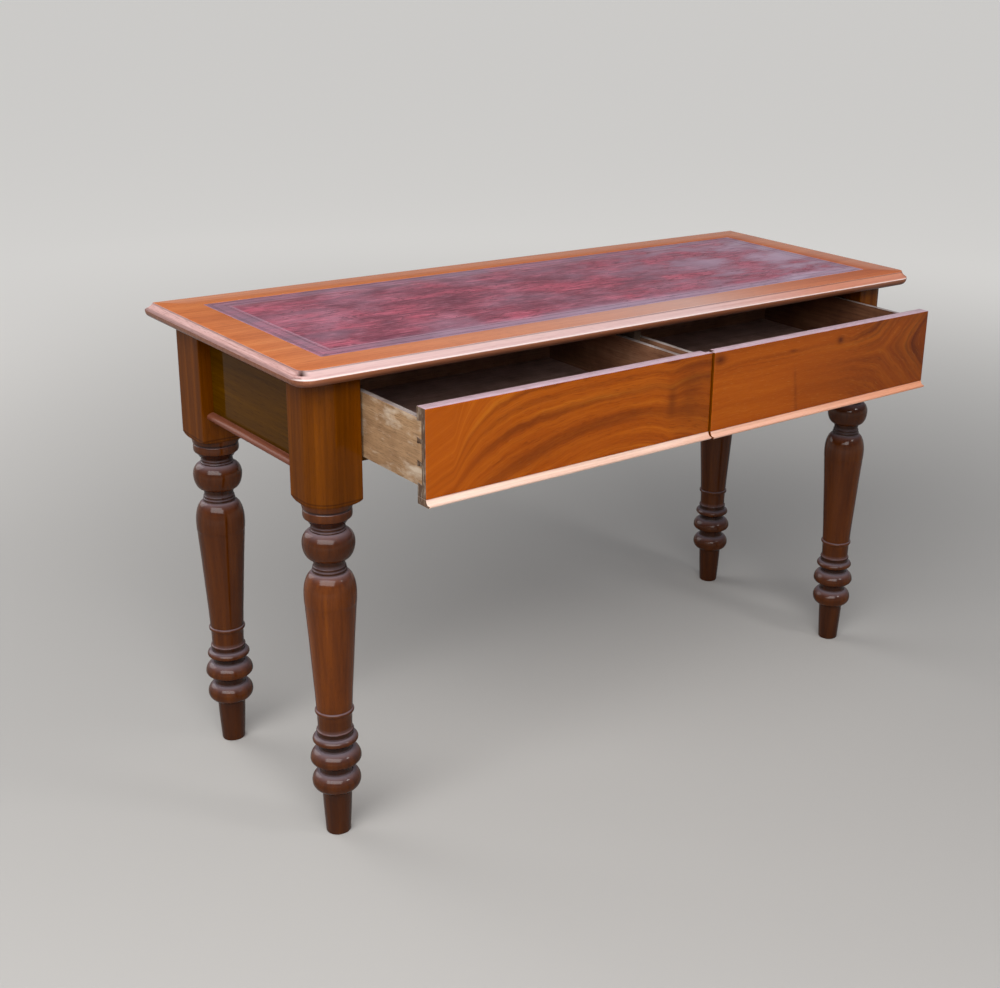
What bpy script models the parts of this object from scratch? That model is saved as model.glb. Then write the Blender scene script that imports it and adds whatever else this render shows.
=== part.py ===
# Mahogany writing desk with two frieze drawers, a leather-lined top and four turned legs.
# Metres, +Z up, +X along the desk, the drawers open towards -Y. The floor is z = 0.
# The drawers stand drawn out at rest, and the origin is the middle of everything's footprint.

import math

import bmesh
import bpy
from mathutils import Vector

for old in list(bpy.data.objects):
    bpy.data.objects.remove(old, do_unlink=True)

# Overall sizes
desk_height = 0.750
top_length = 1.2606
top_depth = 0.4844
top_thickness = 0.0240
end_overhang = 0.0353
side_overhang = 0.0297

# Gaps between pieces that touch on the real desk, and the overrun of every cut
seat_gap = 0.0003
overrun = 0.002

# Edges sharper than this stay crisp on pieces that are shaded round
crease_angle = math.radians(38)

# Top board: its moulded edge, its corners and the recess for the leather
front_corner_radius = 0.0270
back_corner_radius = 0.0030
least_corner_radius = 0.0004
nose_height = 0.0118
nose_under_inset = 0.0100
mould_width = 0.0098
quirk_step = 0.0016
quirk_width = 0.0006
corner_steps = 7
nose_radius = 0.0024
slope_hollow = 0.0007
nose_steps = 4
arris_steps = 2
slope_steps = 4
leather_end_margin = 0.0685
leather_side_margin = 0.0614
leather_thickness = 0.0015
leather_corner_radius = 0.0012

# Legs: a square pommel over a turned shaft
pommel_side = 0.0740
pommel_length = 0.1800
shoulder_drop = 0.0075
leg_sides = 24
shoulder_steps = 3

# The turning, from the neck down to the floor. Each row is a height as a share of the pommel's
# lowest corner, a radius as a share of half the pommel's side, the way there from the row
# above, and its number of steps: "swell" leaves square to the axis and arrives along it,
# "fall" leaves along the axis and arrives square to it.
leg_turning_shares = (
    (0.9790, 0.995, "line", 1),
    (0.9785, 0.945, "line", 1),
    (0.9765, 0.945, "line", 1),
    (0.9640, 1.012, "swell", 3),
    (0.9430, 0.905, "fall", 2),
    (0.9255, 0.650, "line", 1),
    (0.9165, 0.740, "line", 1),
    (0.9085, 0.790, "swell", 1),
    (0.9040, 0.745, "line", 1),
    (0.8660, 1.018, "swell", 4),
    (0.8110, 0.640, "fall", 4),
    (0.8050, 0.600, "line", 1),
    (0.8010, 0.675, "line", 1),
    (0.7950, 0.690, "line", 1),
    (0.7925, 0.640, "line", 1),
    (0.7400, 1.022, "swell", 4),
    (0.6960, 0.982, "line", 1),
    (0.6180, 0.892, "line", 1),
    (0.5000, 0.785, "line", 1),
    (0.3840, 0.705, "line", 1),
    (0.3790, 0.770, "line", 1),
    (0.3715, 0.770, "line", 1),
    (0.3670, 0.680, "line", 1),
    (0.3120, 0.655, "line", 1),
    (0.3105, 0.720, "line", 1),
    (0.2960, 0.868, "swell", 2),
    (0.2800, 0.680, "fall", 2),
    (0.2735, 0.650, "line", 1),
    (0.2685, 0.740, "line", 1),
    (0.2360, 1.008, "swell", 3),
    (0.2030, 0.720, "fall", 2),
    (0.1965, 0.705, "line", 1),
    (0.1920, 0.780, "line", 1),
    (0.1660, 1.012, "swell", 3),
    (0.1300, 0.700, "fall", 3),
    (0.1160, 0.630, "line", 1),
    (0.0560, 0.555, "line", 1),
    (0.0060, 0.480, "line", 1),
    (0.0000, 0.450, "line", 1),
)

# End and back panels, tenoned into the legs, and the bead along the foot of each end panel
apron_depth = 0.1490
panel_thickness = 0.0180
end_panel_recess = 0.0200
back_panel_recess = 0.0065
tenon_length = 0.0200
tenon_thickness = 0.0100
tenon_foot = 0.0180
tenon_head = 0.0250
bead_height = 0.0130
bead_projection = 0.0115
bead_steps = 8

# Front rails, the divider between the drawers, and the drawers' runners, guides and kickers
rail_thickness = 0.0120
rail_depth = 0.0500
rail_shoulder = 0.0080
rail_tenon_thickness = 0.0070
dovetail_taper = 0.0050
dovetail_depth = 0.0080
divider_thickness = 0.0130
runner_width = 0.0350
centre_runner_width = 0.0700
guide_height = 0.0250
block_side = 0.0280
block_length = 0.0700
end_block_count = 2
end_block_margin = 0.0150
back_block_count = 4
back_block_margin = 0.1310

# Drawers
left_pull = 0.1550
right_pull = 0.1580
front_top_gap = 0.0105
front_height = 0.1365
front_thickness = 0.0200
front_end_gap = 0.0035
front_centre_gap = 0.0020
front_rail_gap = 0.0005
lap_thickness = 0.0090
lip_height = 0.0105
lip_projection = 0.0085
lip_nose_height = 0.0032
lip_steps = 5
lining_thickness = 0.0090
side_rise = 0.0260
side_drop = 0.0155
running_gap = 0.0005
divider_gap = 0.0022
drawer_back_clearance = 0.0105
back_board_drop = 0.0090
floor_rise = 0.0110
floor_thickness = 0.0060
groove_depth = 0.0050
front_tail_count = 3
back_tail_count = 2
tail_pin_width = 0.0090
tail_flare = 0.0016

# Heights and faces that follow from the sizes above
underside = desk_height - top_thickness
leg_top = underside - seat_gap
pommel_half = pommel_side / 2
leg_x = top_length / 2 - end_overhang - pommel_half
leg_y = top_depth / 2 - side_overhang - pommel_half
pommel_foot = underside - pommel_length
front_face = -leg_y - pommel_half
inner_leg_x = leg_x - pommel_half
inner_leg_y = leg_y - pommel_half
apron_foot = underside - apron_depth
end_panel_face = leg_x + pommel_half - end_panel_recess
end_panel_back = end_panel_face - panel_thickness
back_panel_face = leg_y + pommel_half - back_panel_recess
back_panel_front = back_panel_face - panel_thickness
rail_front = front_face + front_thickness + front_rail_gap
rail_back = rail_front + rail_depth
front_top = underside - front_top_gap
front_foot = front_top - front_height
side_foot = front_foot + side_rise
side_height = front_height - side_rise - side_drop
lower_rail_top = side_foot - running_gap
lower_rail_foot = lower_rail_top - rail_thickness
upper_rail_foot = leg_top - rail_thickness
front_width = inner_leg_x - front_end_gap - front_centre_gap / 2
drawer_length = back_panel_front - front_face - drawer_back_clearance
front_rebate = divider_thickness / 2 + divider_gap - front_centre_gap / 2
groove_height = floor_thickness + 2 * seat_gap
back_board_foot = floor_rise + groove_height

# The drawers stand out of the carcass, so it stands back of the middle by half their reach.
drawer_reach = max(left_pull, right_pull) + lip_projection - side_overhang
carcass_shift = drawer_reach / 2


def srgb(code):
    channels = [int(code[i:i + 2], 16) / 255 for i in (1, 3, 5)]
    return [c / 12.92 if c <= 0.04045 else ((c + 0.055) / 1.055) ** 2.4 for c in channels] + [1.0]


def material(name, code, roughness):
    made = bpy.data.materials.new(name)
    made.use_nodes = True
    shader = made.node_tree.nodes["Principled BSDF"]
    shader.inputs["Base Color"].default_value = srgb(code)
    shader.inputs["Roughness"].default_value = roughness
    shader.inputs["Metallic"].default_value = 0.0
    made.diffuse_color = srgb(code)
    return made


polished = {"roughness": 0.22}
top_mahogany = material("polished_mahogany_top", "#A8623A", **polished)
leg_mahogany = material("polished_mahogany_legs", "#5E2E12", **polished)
panel_mahogany = material("polished_mahogany_panels", "#6A3716", **polished)
front_mahogany = material("figured_mahogany_fronts", "#9A5C26", **polished)
mould_mahogany = material("mahogany_mouldings", "#8E4A26", **polished)
aged_pine = material("aged_pine_carcass", "#8A6A45", 0.75)
drawer_lining = material("aged_ash_drawer_lining", "#B39A72", 0.70)
drawer_floor = material("aged_pine_drawer_floor", "#776853", 0.80)
oxblood_leather = material("oxblood_leather", "#6F3038", 0.45)


def empty(name, place, parent=None):
    made = bpy.data.objects.new(name, None)
    made.location = place
    made.parent = parent
    bpy.context.collection.objects.link(made)
    return made


def piece(name, mesh_builder, place, finish, parent, smooth=False):
    # One named object from a bmesh, standing at its own place under its parent.
    bmesh.ops.recalc_face_normals(mesh_builder, faces=mesh_builder.faces)
    mesh = bpy.data.meshes.new(name)
    mesh_builder.to_mesh(mesh)
    mesh_builder.free()
    if smooth:
        mesh.shade_smooth()
        mesh.set_sharp_from_angle(angle=crease_angle)
    if finish:
        mesh.materials.append(finish)
    made = bpy.data.objects.new(name, mesh)
    made.location = place
    made.parent = parent
    bpy.context.collection.objects.link(made)
    return made


def add_loft(builder, rings):
    # Rings with the same number of points, joined into a closed solid with flat ends.
    rows = [[builder.verts.new(point) for point in ring] for ring in rings]
    for lower, upper in zip(rows, rows[1:]):
        for i in range(len(lower)):
            j = (i + 1) % len(lower)
            builder.faces.new((lower[i], lower[j], upper[j], upper[i]))
    builder.faces.new(reversed(rows[0]))
    builder.faces.new(rows[-1])


def add_box(builder, low, high):
    add_loft(builder, [[(low[0], low[1], z), (high[0], low[1], z),
                        (high[0], high[1], z), (low[0], high[1], z)] for z in (low[2], high[2])])


def add_prism(builder, outline, axis, start, end):
    # An outline in the plane square to the axis: (y, z) along X, and (x, z) along Y.
    if axis == "X":
        add_loft(builder, [[(at, a, b) for a, b in outline] for at in (start, end)])
    else:
        add_loft(builder, [[(a, at, b) for a, b in outline] for at in (start, end)])


def block(name, low, high, finish, parent):
    # A plain board between two corners, with its origin at its middle.
    low, high = Vector(low), Vector(high)
    middle = (low + high) / 2
    builder = bmesh.new()
    add_box(builder, low - middle, high - middle)
    return piece(name, builder, middle, finish, parent)


def combine(target, builder, name, operation):
    # Cuts or joins the builder's shapes, given in the target's own coordinates.
    tool = piece(name, builder, target.location, None, target.parent)
    tool.hide_render = True
    tool.display_type = "WIRE"
    change = target.modifiers.new(name, "BOOLEAN")
    change.operation = operation
    change.solver = "EXACT"
    change.object = tool


def quarter(start, end, kind, steps):
    # Points after start along a quarter ellipse, or a straight run, to end; each is (along, out).
    points = []
    for i in range(1, steps + 1):
        turn = math.pi / 2 * i / steps
        if kind == "swell":
            along, out = 1 - math.cos(turn), math.sin(turn)
        elif kind == "fall":
            along, out = math.sin(turn), 1 - math.cos(turn)
        else:
            along = out = i / steps
        points.append((start[0] + (end[0] - start[0]) * along, start[1] + (end[1] - start[1]) * out))
    return points


def rounded_rectangle(half_x, half_y, front_radius, back_radius, z):
    # A rectangle with its own radius at the front corners (-Y) and the back corners (+Y).
    ring = []
    corners = ((1, 1, back_radius), (-1, 1, back_radius), (-1, -1, front_radius), (1, -1, front_radius))
    for corner, (sign_x, sign_y, radius) in enumerate(corners):
        centre_x = sign_x * (half_x - radius)
        centre_y = sign_y * (half_y - radius)
        for step in range(corner_steps + 1):
            angle = math.pi / 2 * (corner + step / corner_steps)
            ring.append((centre_x + radius * math.cos(angle), centre_y + radius * math.sin(angle), z))
    return ring


def top_edge():
    # The moulded edge as (inset, height): from the underside round the nose, an eighth of a turn
    # over its arris, and up a slightly hollow slope to the quirk.
    points = [(nose_under_inset, 0)]
    nose = quarter((0, nose_under_inset), (nose_height, 0), "swell", nose_steps)
    points += [(inset, z) for z, inset in nose]
    for step in range(1, arris_steps + 1):
        turn = math.pi / 4 * step / arris_steps
        points.append((nose_radius * (1 - math.cos(turn)), nose_height + nose_radius * math.sin(turn)))
    start = points[-1]
    end = (mould_width, top_thickness - quirk_step)
    for step in range(1, slope_steps + 1):
        share = step / slope_steps
        sink = slope_hollow * math.sin(math.pi * share)
        points.append((start[0] + (end[0] - start[0]) * share + sink,
                       start[1] + (end[1] - start[1]) * share - sink))
    points.append((mould_width + quirk_width, top_thickness))
    return points


def top_board(parent):
    half_x, half_y = top_length / 2, top_depth / 2
    rings = []
    for inset, height in top_edge():
        rings.append(rounded_rectangle(half_x - inset, half_y - inset,
                                       max(front_corner_radius - inset, least_corner_radius),
                                       max(back_corner_radius - inset, least_corner_radius), height))
    recess_x = half_x - leather_end_margin + seat_gap
    recess_y = half_y - leather_side_margin + seat_gap
    floor = top_thickness - leather_thickness - seat_gap
    for height in (top_thickness, floor):
        rings.append(rounded_rectangle(recess_x, recess_y, leather_corner_radius,
                                       leather_corner_radius, height))
    builder = bmesh.new()
    add_loft(builder, rings)
    piece("top_board", builder, (0, 0, underside), top_mahogany, parent, True)
    builder = bmesh.new()
    half_leather_x, half_leather_y = half_x - leather_end_margin, half_y - leather_side_margin
    add_loft(builder, [rounded_rectangle(half_leather_x, half_leather_y, leather_corner_radius,
                                         leather_corner_radius, z) for z in (0, leather_thickness)])
    piece("leather_inset", builder, (0, 0, desk_height - leather_thickness), oxblood_leather, parent)


def leg_turning():
    # The turned outline under the pommel's shoulder as (height, radius), from the top down.
    at = (pommel_foot - shoulder_drop, pommel_half)
    points = []
    for height_share, radius_share, kind, steps in leg_turning_shares:
        end = (height_share * pommel_foot, radius_share * pommel_half)
        points += quarter(at, end, kind, steps)
        at = end
    return points


def pommel_radius(angle, round_corner):
    # Reach of the square section at an angle; its rounded corner is struck from the leg's axis.
    if round_corner and math.cos(angle) * round_corner[0] > 0 and math.sin(angle) * round_corner[1] > 0:
        return pommel_half
    return pommel_half / max(abs(math.cos(angle)), abs(math.sin(angle)))


def leg(name, place, round_corner, parent):
    # Rings round the leg's axis: square for the pommel, then cut by the turned shoulder.
    angles = [2 * math.pi * i / leg_sides for i in range(leg_sides)]
    limits = [(leg_top, 2 * pommel_half), (pommel_foot, math.sqrt(2) * pommel_half)]
    limits += quarter(limits[-1], (pommel_foot - shoulder_drop, pommel_half), "fall", shoulder_steps)
    rings = []
    for z, limit in limits:
        reach = [min(pommel_radius(angle, round_corner), limit) for angle in angles]
        rings.append([(r * math.cos(a), r * math.sin(a), z) for r, a in zip(reach, angles)])
    for z, radius in leg_turning():
        rings.append([(radius * math.cos(a), radius * math.sin(a), z) for a in angles])
    builder = bmesh.new()
    add_loft(builder, list(reversed(rings)))
    return piece(name, builder, place, leg_mahogany, parent, True)


def add_panel_tenons(builder, low, high, axis, clearance):
    # The stub tenons of a panel that runs along axis 0 or 1, and with a clearance their mortises.
    middle = (low[1 - axis] + high[1 - axis]) / 2
    half = tenon_thickness / 2 + clearance
    reach = tenon_length + clearance
    for start, end in ((low[axis] - reach, low[axis] + overrun), (high[axis] - overrun, high[axis] + reach)):
        corner_low = [0, 0, apron_foot + tenon_foot - clearance]
        corner_high = [0, 0, leg_top - tenon_head + clearance]
        corner_low[axis], corner_high[axis] = start, end
        corner_low[1 - axis], corner_high[1 - axis] = middle - half, middle + half
        add_box(builder, corner_low, corner_high)


def panel(name, low, high, axis, finish, parent):
    board = block(name, low, high, finish, parent)
    builder = bmesh.new()
    add_panel_tenons(builder, low, high, axis, 0)
    bmesh.ops.translate(builder, verts=builder.verts, vec=-board.location)
    combine(board, builder, name + "_tenons", "UNION")


def add_rail_tenon(builder, side, foot, clearance):
    # The lower rail's stub tenon at one end, or with a clearance its mortise.
    x_low, x_high = sorted((side * (inner_leg_x - seat_gap - overrun),
                            side * (inner_leg_x + tenon_length + clearance)))
    middle = foot + rail_thickness / 2
    half = rail_tenon_thickness / 2 + clearance
    add_box(builder, (x_low, rail_front + rail_shoulder - clearance, middle - half),
            (x_high, rail_back - rail_shoulder + clearance, middle + half))


def add_rail_dovetail(builder, side, clearance, rise):
    # The upper rail's dovetail at one end, let into the top of the leg, or its socket.
    start = side * (inner_leg_x - seat_gap - overrun)
    tip = side * (inner_leg_x + tenon_length + clearance)
    front, back = rail_front + rail_shoulder - clearance, rail_back - rail_shoulder + clearance
    plan = [(start, front + dovetail_taper), (tip, front), (tip, back), (start, back - dovetail_taper)]
    foot = leg_top - dovetail_depth - clearance
    add_loft(builder, [[(x, y, z) for x, y in plan] for z in (foot, leg_top + rise)])


def front_rail(name, foot, dovetailed, parent):
    half = inner_leg_x - seat_gap
    rail = block(name, (-half, rail_front, foot), (half, rail_back, foot + rail_thickness),
                 panel_mahogany, parent)
    builder = bmesh.new()
    for side in (-1, 1):
        if dovetailed:
            add_rail_dovetail(builder, side, 0, 0)
        else:
            add_rail_tenon(builder, side, foot, 0)
    bmesh.ops.translate(builder, verts=builder.verts, vec=-rail.location)
    combine(rail, builder, name + "_ends", "UNION")


def cut_mortises(target, side_x, side_y):
    # Everything let into one leg, cut a seat gap larger.
    builder = bmesh.new()
    x_low, x_high = sorted((side_x * end_panel_face, side_x * end_panel_back))
    half = inner_leg_y - seat_gap
    add_panel_tenons(builder, (x_low, -half), (x_high, half), 1, seat_gap)
    if side_y > 0:
        half = inner_leg_x - seat_gap
        add_panel_tenons(builder, (-half, back_panel_front), (half, back_panel_face), 0, seat_gap)
    else:
        add_rail_tenon(builder, side_x, lower_rail_foot, seat_gap)
        add_rail_dovetail(builder, side_x, seat_gap, overrun)
    bmesh.ops.translate(builder, verts=builder.verts, vec=-target.location)
    combine(target, builder, target.name + "_mortises", "DIFFERENCE")


def end_bead(name, side, parent):
    # A round bead planted on the foot of an end panel, between the legs.
    back = end_panel_face + seat_gap
    tip = back + bead_projection
    middle = bead_height / 2
    lower = quarter((0, back), (middle, tip), "swell", bead_steps // 2)
    upper = quarter((middle, tip), (bead_height, back), "fall", bead_steps // 2)
    outline = [(side * back, apron_foot)] + [(side * x, apron_foot + z) for z, x in lower + upper]
    builder = bmesh.new()
    add_prism(builder, outline, "Y", -inner_leg_y + seat_gap, inner_leg_y - seat_gap)
    piece(name, builder, (0, 0, 0), mould_mahogany, parent, True)


def block_places(count, leg_face, margin):
    # Middles of evenly spaced glue blocks between two legs, the outer ones a margin from the legs.
    reach = leg_face - margin - block_length / 2
    return [reach * (2 * i / (count - 1) - 1) for i in range(count)]


def glue_block(name, place, turn, parent):
    # A three-sided block glued in the corner under the top, its right angle at the origin.
    half = block_length / 2
    builder = bmesh.new()
    add_prism(builder, [(0, 0), (0, -block_side), (block_side, 0)], "Y", -half, half)
    made = piece(name, builder, place, aged_pine, parent)
    made.rotation_euler = (0, 0, turn)


def carcass(parent):
    for side_x, x_word in ((-1, "left"), (1, "right")):
        for side_y, y_word in ((-1, "front"), (1, "back")):
            corner = (side_x, side_y) if side_y < 0 else None
            made = leg(f"{y_word}_{x_word}_leg", (side_x * leg_x, side_y * leg_y, 0), corner, parent)
            cut_mortises(made, side_x, side_y)
        x_low, x_high = sorted((side_x * end_panel_face, side_x * end_panel_back))
        half_y = inner_leg_y - seat_gap
        panel(f"{x_word}_end_panel", (x_low, -half_y, apron_foot), (x_high, half_y, leg_top), 1,
              panel_mahogany, parent)
        end_bead(f"{x_word}_end_bead", side_x, parent)
    half_x = inner_leg_x - seat_gap
    panel("back_panel", (-half_x, back_panel_front, apron_foot), (half_x, back_panel_face, leg_top), 0,
          panel_mahogany, parent)
    front_rail("lower_front_rail", lower_rail_foot, False, parent)
    front_rail("upper_front_rail", upper_rail_foot, True, parent)
    half_divider = divider_thickness / 2
    block("drawer_divider", (-half_divider, rail_front + seat_gap, lower_rail_top + seat_gap),
          (half_divider, rail_back, upper_rail_foot - seat_gap), aged_pine, parent)
    drawer_bearers(half_x, half_divider, parent)
    glue_blocks(parent)


def drawer_bearers(half_x, half_divider, parent):
    # What the drawers run on, between and under, from the front rails to the back panel.
    start, end = rail_back + seat_gap, back_panel_front - seat_gap
    for side, word in ((-1, "left"), (1, "right")):
        x_low, x_high = sorted((side * half_x, side * (half_x - runner_width)))
        block(f"{word}_runner", (x_low, start, lower_rail_foot), (x_high, end, lower_rail_top),
              aged_pine, parent)
        block(f"{word}_kicker", (x_low, start, upper_rail_foot), (x_high, end, leg_top), aged_pine, parent)
        x_low, x_high = sorted((side * (end_panel_back - seat_gap), side * (half_x + seat_gap)))
        block(f"{word}_guide", (x_low, -inner_leg_y + seat_gap, lower_rail_foot),
              (x_high, inner_leg_y - seat_gap, lower_rail_top + guide_height), aged_pine, parent)
    half = centre_runner_width / 2
    block("centre_runner", (-half, start, lower_rail_foot), (half, end, lower_rail_top), aged_pine, parent)
    block("centre_kicker", (-half, start, upper_rail_foot), (half, end, leg_top), aged_pine, parent)
    block("centre_guide", (-half_divider, start, lower_rail_top + seat_gap),
          (half_divider, end, lower_rail_top + guide_height), aged_pine, parent)


def glue_blocks(parent):
    for side, word, turn in ((-1, "left", 0), (1, "right", math.pi)):
        for number, along in enumerate(block_places(end_block_count, inner_leg_y, end_block_margin), 1):
            glue_block(f"{word}_glue_block_{number}", (side * (end_panel_back - seat_gap), along, leg_top),
                       turn, parent)
    for number, along in enumerate(block_places(back_block_count, inner_leg_x, back_block_margin), 1):
        glue_block(f"back_glue_block_{number}", (along, back_panel_front - seat_gap, leg_top),
                   -math.pi / 2, parent)


def tail_spans(low, high, count):
    # Lower and upper edge of each dovetail where it leaves its board, pins of one width between.
    pitch = (high - low) / count
    return [(low + pitch * i + tail_pin_width / 2, low + pitch * (i + 1) - tail_pin_width / 2)
            for i in range(count)]


def side_board(name, x_low, parent, board_span):
    # A drawer side drawn with its dovetails at both ends, with the floor's groove run inside.
    outline = [(front_thickness, 0)]
    for low, high in tail_spans(0, side_height, front_tail_count):
        outline += [(front_thickness, low), (lap_thickness + seat_gap, low - tail_flare),
                    (lap_thickness + seat_gap, high + tail_flare), (front_thickness, high)]
    shoulder = drawer_length - lining_thickness
    outline += [(front_thickness, side_height), (drawer_length, side_height), (drawer_length, board_span[1])]
    outline += [(shoulder, board_span[1])]
    for low, high in reversed(tail_spans(board_span[0], board_span[1], back_tail_count)):
        outline += [(shoulder, high), (drawer_length, high + tail_flare),
                    (drawer_length, low - tail_flare), (shoulder, low)]
    outline += [(shoulder, board_span[0]), (drawer_length, board_span[0]), (drawer_length, 0)]
    builder = bmesh.new()
    add_prism(builder, outline, "X", 0, lining_thickness)
    return piece(name, builder, (x_low, 0, 0), drawer_lining, parent)


def add_sockets(builder, x_low, x_high, shoulder, tip, past_tip, spans):
    # Dovetail sockets between the shoulder's face and the tails' tips, a seat gap wide of each
    # tail, run on past the face and, where the socket goes through, past the tips.
    run = tip - shoulder
    for low, high in spans:
        outline = []
        for at, edge, sign in ((-overrun, low, -1), (abs(run) + past_tip, low, -1),
                               (abs(run) + past_tip, high, 1), (-overrun, high, 1)):
            spread = tail_flare * at / abs(run) + seat_gap
            outline.append((shoulder + math.copysign(at, at * run), edge + sign * spread))
        add_prism(builder, outline, "X", x_low, x_high)


def lip_outline():
    # Section of the lip under a drawer front as (y, z) from the front's foot: a thumb mould.
    face_top = lip_height - seat_gap
    tip = (lip_nose_height, -lip_projection)
    outline = [(front_thickness, 0), (front_thickness, face_top), (0, face_top)]
    outline += quarter((0, face_top), (tip[1], tip[0]), "fall", lip_steps)
    outline.append((tip[1] + lip_nose_height, 0))
    return outline


def drawer(word, outer, pull, parent):
    # outer is -1 for the left drawer and 1 for the right: the side of the drawer by the leg.
    middle_x = outer * (front_centre_gap / 2 + front_width / 2)
    slide = empty(f"{word}_drawer_slide", (middle_x, front_face - pull, side_foot), parent)
    half = front_width / 2
    inner_reach = half - front_rebate
    foot = lip_height - side_rise
    top = front_height - side_rise
    board_span = (back_board_foot + seat_gap, side_height - back_board_drop)

    builder = bmesh.new()
    add_box(builder, (-half, 0, foot), (half, front_thickness, top))
    front = piece(f"{word}_drawer_front", builder, (0, 0, 0), front_mahogany, slide)
    builder = bmesh.new()
    rebate_low, rebate_high = sorted((-outer * (half + overrun), -outer * inner_reach))
    add_box(builder, (rebate_low, lap_thickness, foot - overrun),
            (rebate_high, front_thickness + overrun, top + overrun))
    combine(front, builder, f"{word}_drawer_front_rebate", "DIFFERENCE")
    builder = bmesh.new()
    spans = tail_spans(0, side_height, front_tail_count)
    outer_low, outer_high = sorted((outer * (half - lining_thickness - seat_gap), outer * (half + overrun)))
    add_sockets(builder, outer_low, outer_high, front_thickness, lap_thickness, 0, spans)
    inner_low, inner_high = sorted((-outer * (inner_reach - lining_thickness - seat_gap),
                                    -outer * (inner_reach + overrun)))
    add_sockets(builder, inner_low, inner_high, front_thickness, lap_thickness, 0, spans)
    combine(front, builder, f"{word}_drawer_front_sockets", "DIFFERENCE")
    groove_low, groove_high = sorted((outer * (half - lining_thickness),
                                      -outer * (inner_reach - lining_thickness)))
    builder = bmesh.new()
    add_box(builder, (groove_low, front_thickness - groove_depth, floor_rise),
            (groove_high, front_thickness + overrun, floor_rise + groove_height))
    combine(front, builder, f"{word}_drawer_front_groove", "DIFFERENCE")

    builder = bmesh.new()
    add_prism(builder, lip_outline(), "X", -half, half)
    piece(f"{word}_drawer_lip", builder, (0, 0, -side_rise), mould_mahogany, slide, True)

    for role, sign, reach in (("outer", outer, half), ("inner", -outer, inner_reach)):
        x_low = min(sign * reach, sign * (reach - lining_thickness))
        board = side_board(f"{word}_drawer_{role}_side", x_low, slide, board_span)
        groove = sorted((sign * (reach - lining_thickness) - x_low - sign * overrun,
                         sign * (reach - lining_thickness) - x_low + sign * groove_depth))
        builder = bmesh.new()
        add_box(builder, (groove[0], front_thickness - groove_depth, floor_rise),
                (groove[1], drawer_length + overrun, floor_rise + groove_height))
        combine(board, builder, f"{word}_drawer_{role}_side_groove", "DIFFERENCE")

    low_x, high_x = sorted((outer * half, -outer * inner_reach))
    back = block(f"{word}_drawer_back", (low_x, drawer_length - lining_thickness + seat_gap, board_span[0]),
                 (high_x, drawer_length, board_span[1]), drawer_lining, slide)
    builder = bmesh.new()
    back_spans = tail_spans(board_span[0], board_span[1], back_tail_count)
    for sign, reach in ((outer, half), (-outer, inner_reach)):
        socket_low, socket_high = sorted((sign * (reach - lining_thickness - seat_gap),
                                          sign * (reach + overrun)))
        add_sockets(builder, socket_low, socket_high, drawer_length - lining_thickness, drawer_length,
                    overrun, back_spans)
    bmesh.ops.translate(builder, verts=builder.verts, vec=-back.location)
    combine(back, builder, f"{word}_drawer_back_sockets", "DIFFERENCE")

    edge = groove_depth - seat_gap
    block(f"{word}_drawer_floor", (groove_low - edge, front_thickness - edge, floor_rise + seat_gap),
          (groove_high + edge, drawer_length, floor_rise + seat_gap + floor_thickness), drawer_floor, slide)


desk = empty("desk", (0, carcass_shift, 0))
top_board(desk)
carcass(desk)
drawer("left", -1, left_pull, desk)
drawer("right", 1, right_pull, desk)
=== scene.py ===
import math

import bmesh
import bpy
import numpy as np
from mathutils import Matrix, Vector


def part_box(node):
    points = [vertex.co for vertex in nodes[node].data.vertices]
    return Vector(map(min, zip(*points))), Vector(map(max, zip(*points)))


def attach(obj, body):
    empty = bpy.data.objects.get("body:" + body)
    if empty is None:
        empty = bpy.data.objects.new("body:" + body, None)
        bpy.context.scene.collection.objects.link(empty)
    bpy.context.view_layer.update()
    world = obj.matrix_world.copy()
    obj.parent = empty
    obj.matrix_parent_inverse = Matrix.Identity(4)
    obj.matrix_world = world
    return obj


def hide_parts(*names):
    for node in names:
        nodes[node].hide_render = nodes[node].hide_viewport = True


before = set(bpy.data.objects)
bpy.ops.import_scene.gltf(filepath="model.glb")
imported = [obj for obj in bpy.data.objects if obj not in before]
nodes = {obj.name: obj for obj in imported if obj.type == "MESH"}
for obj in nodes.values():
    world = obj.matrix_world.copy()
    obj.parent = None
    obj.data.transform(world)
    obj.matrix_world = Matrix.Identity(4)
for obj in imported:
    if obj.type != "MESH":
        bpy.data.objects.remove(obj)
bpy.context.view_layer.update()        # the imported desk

mm = 0.001
print("frame loaded:", len(nodes), "nodes")


# Meshes worked out as arrays

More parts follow.
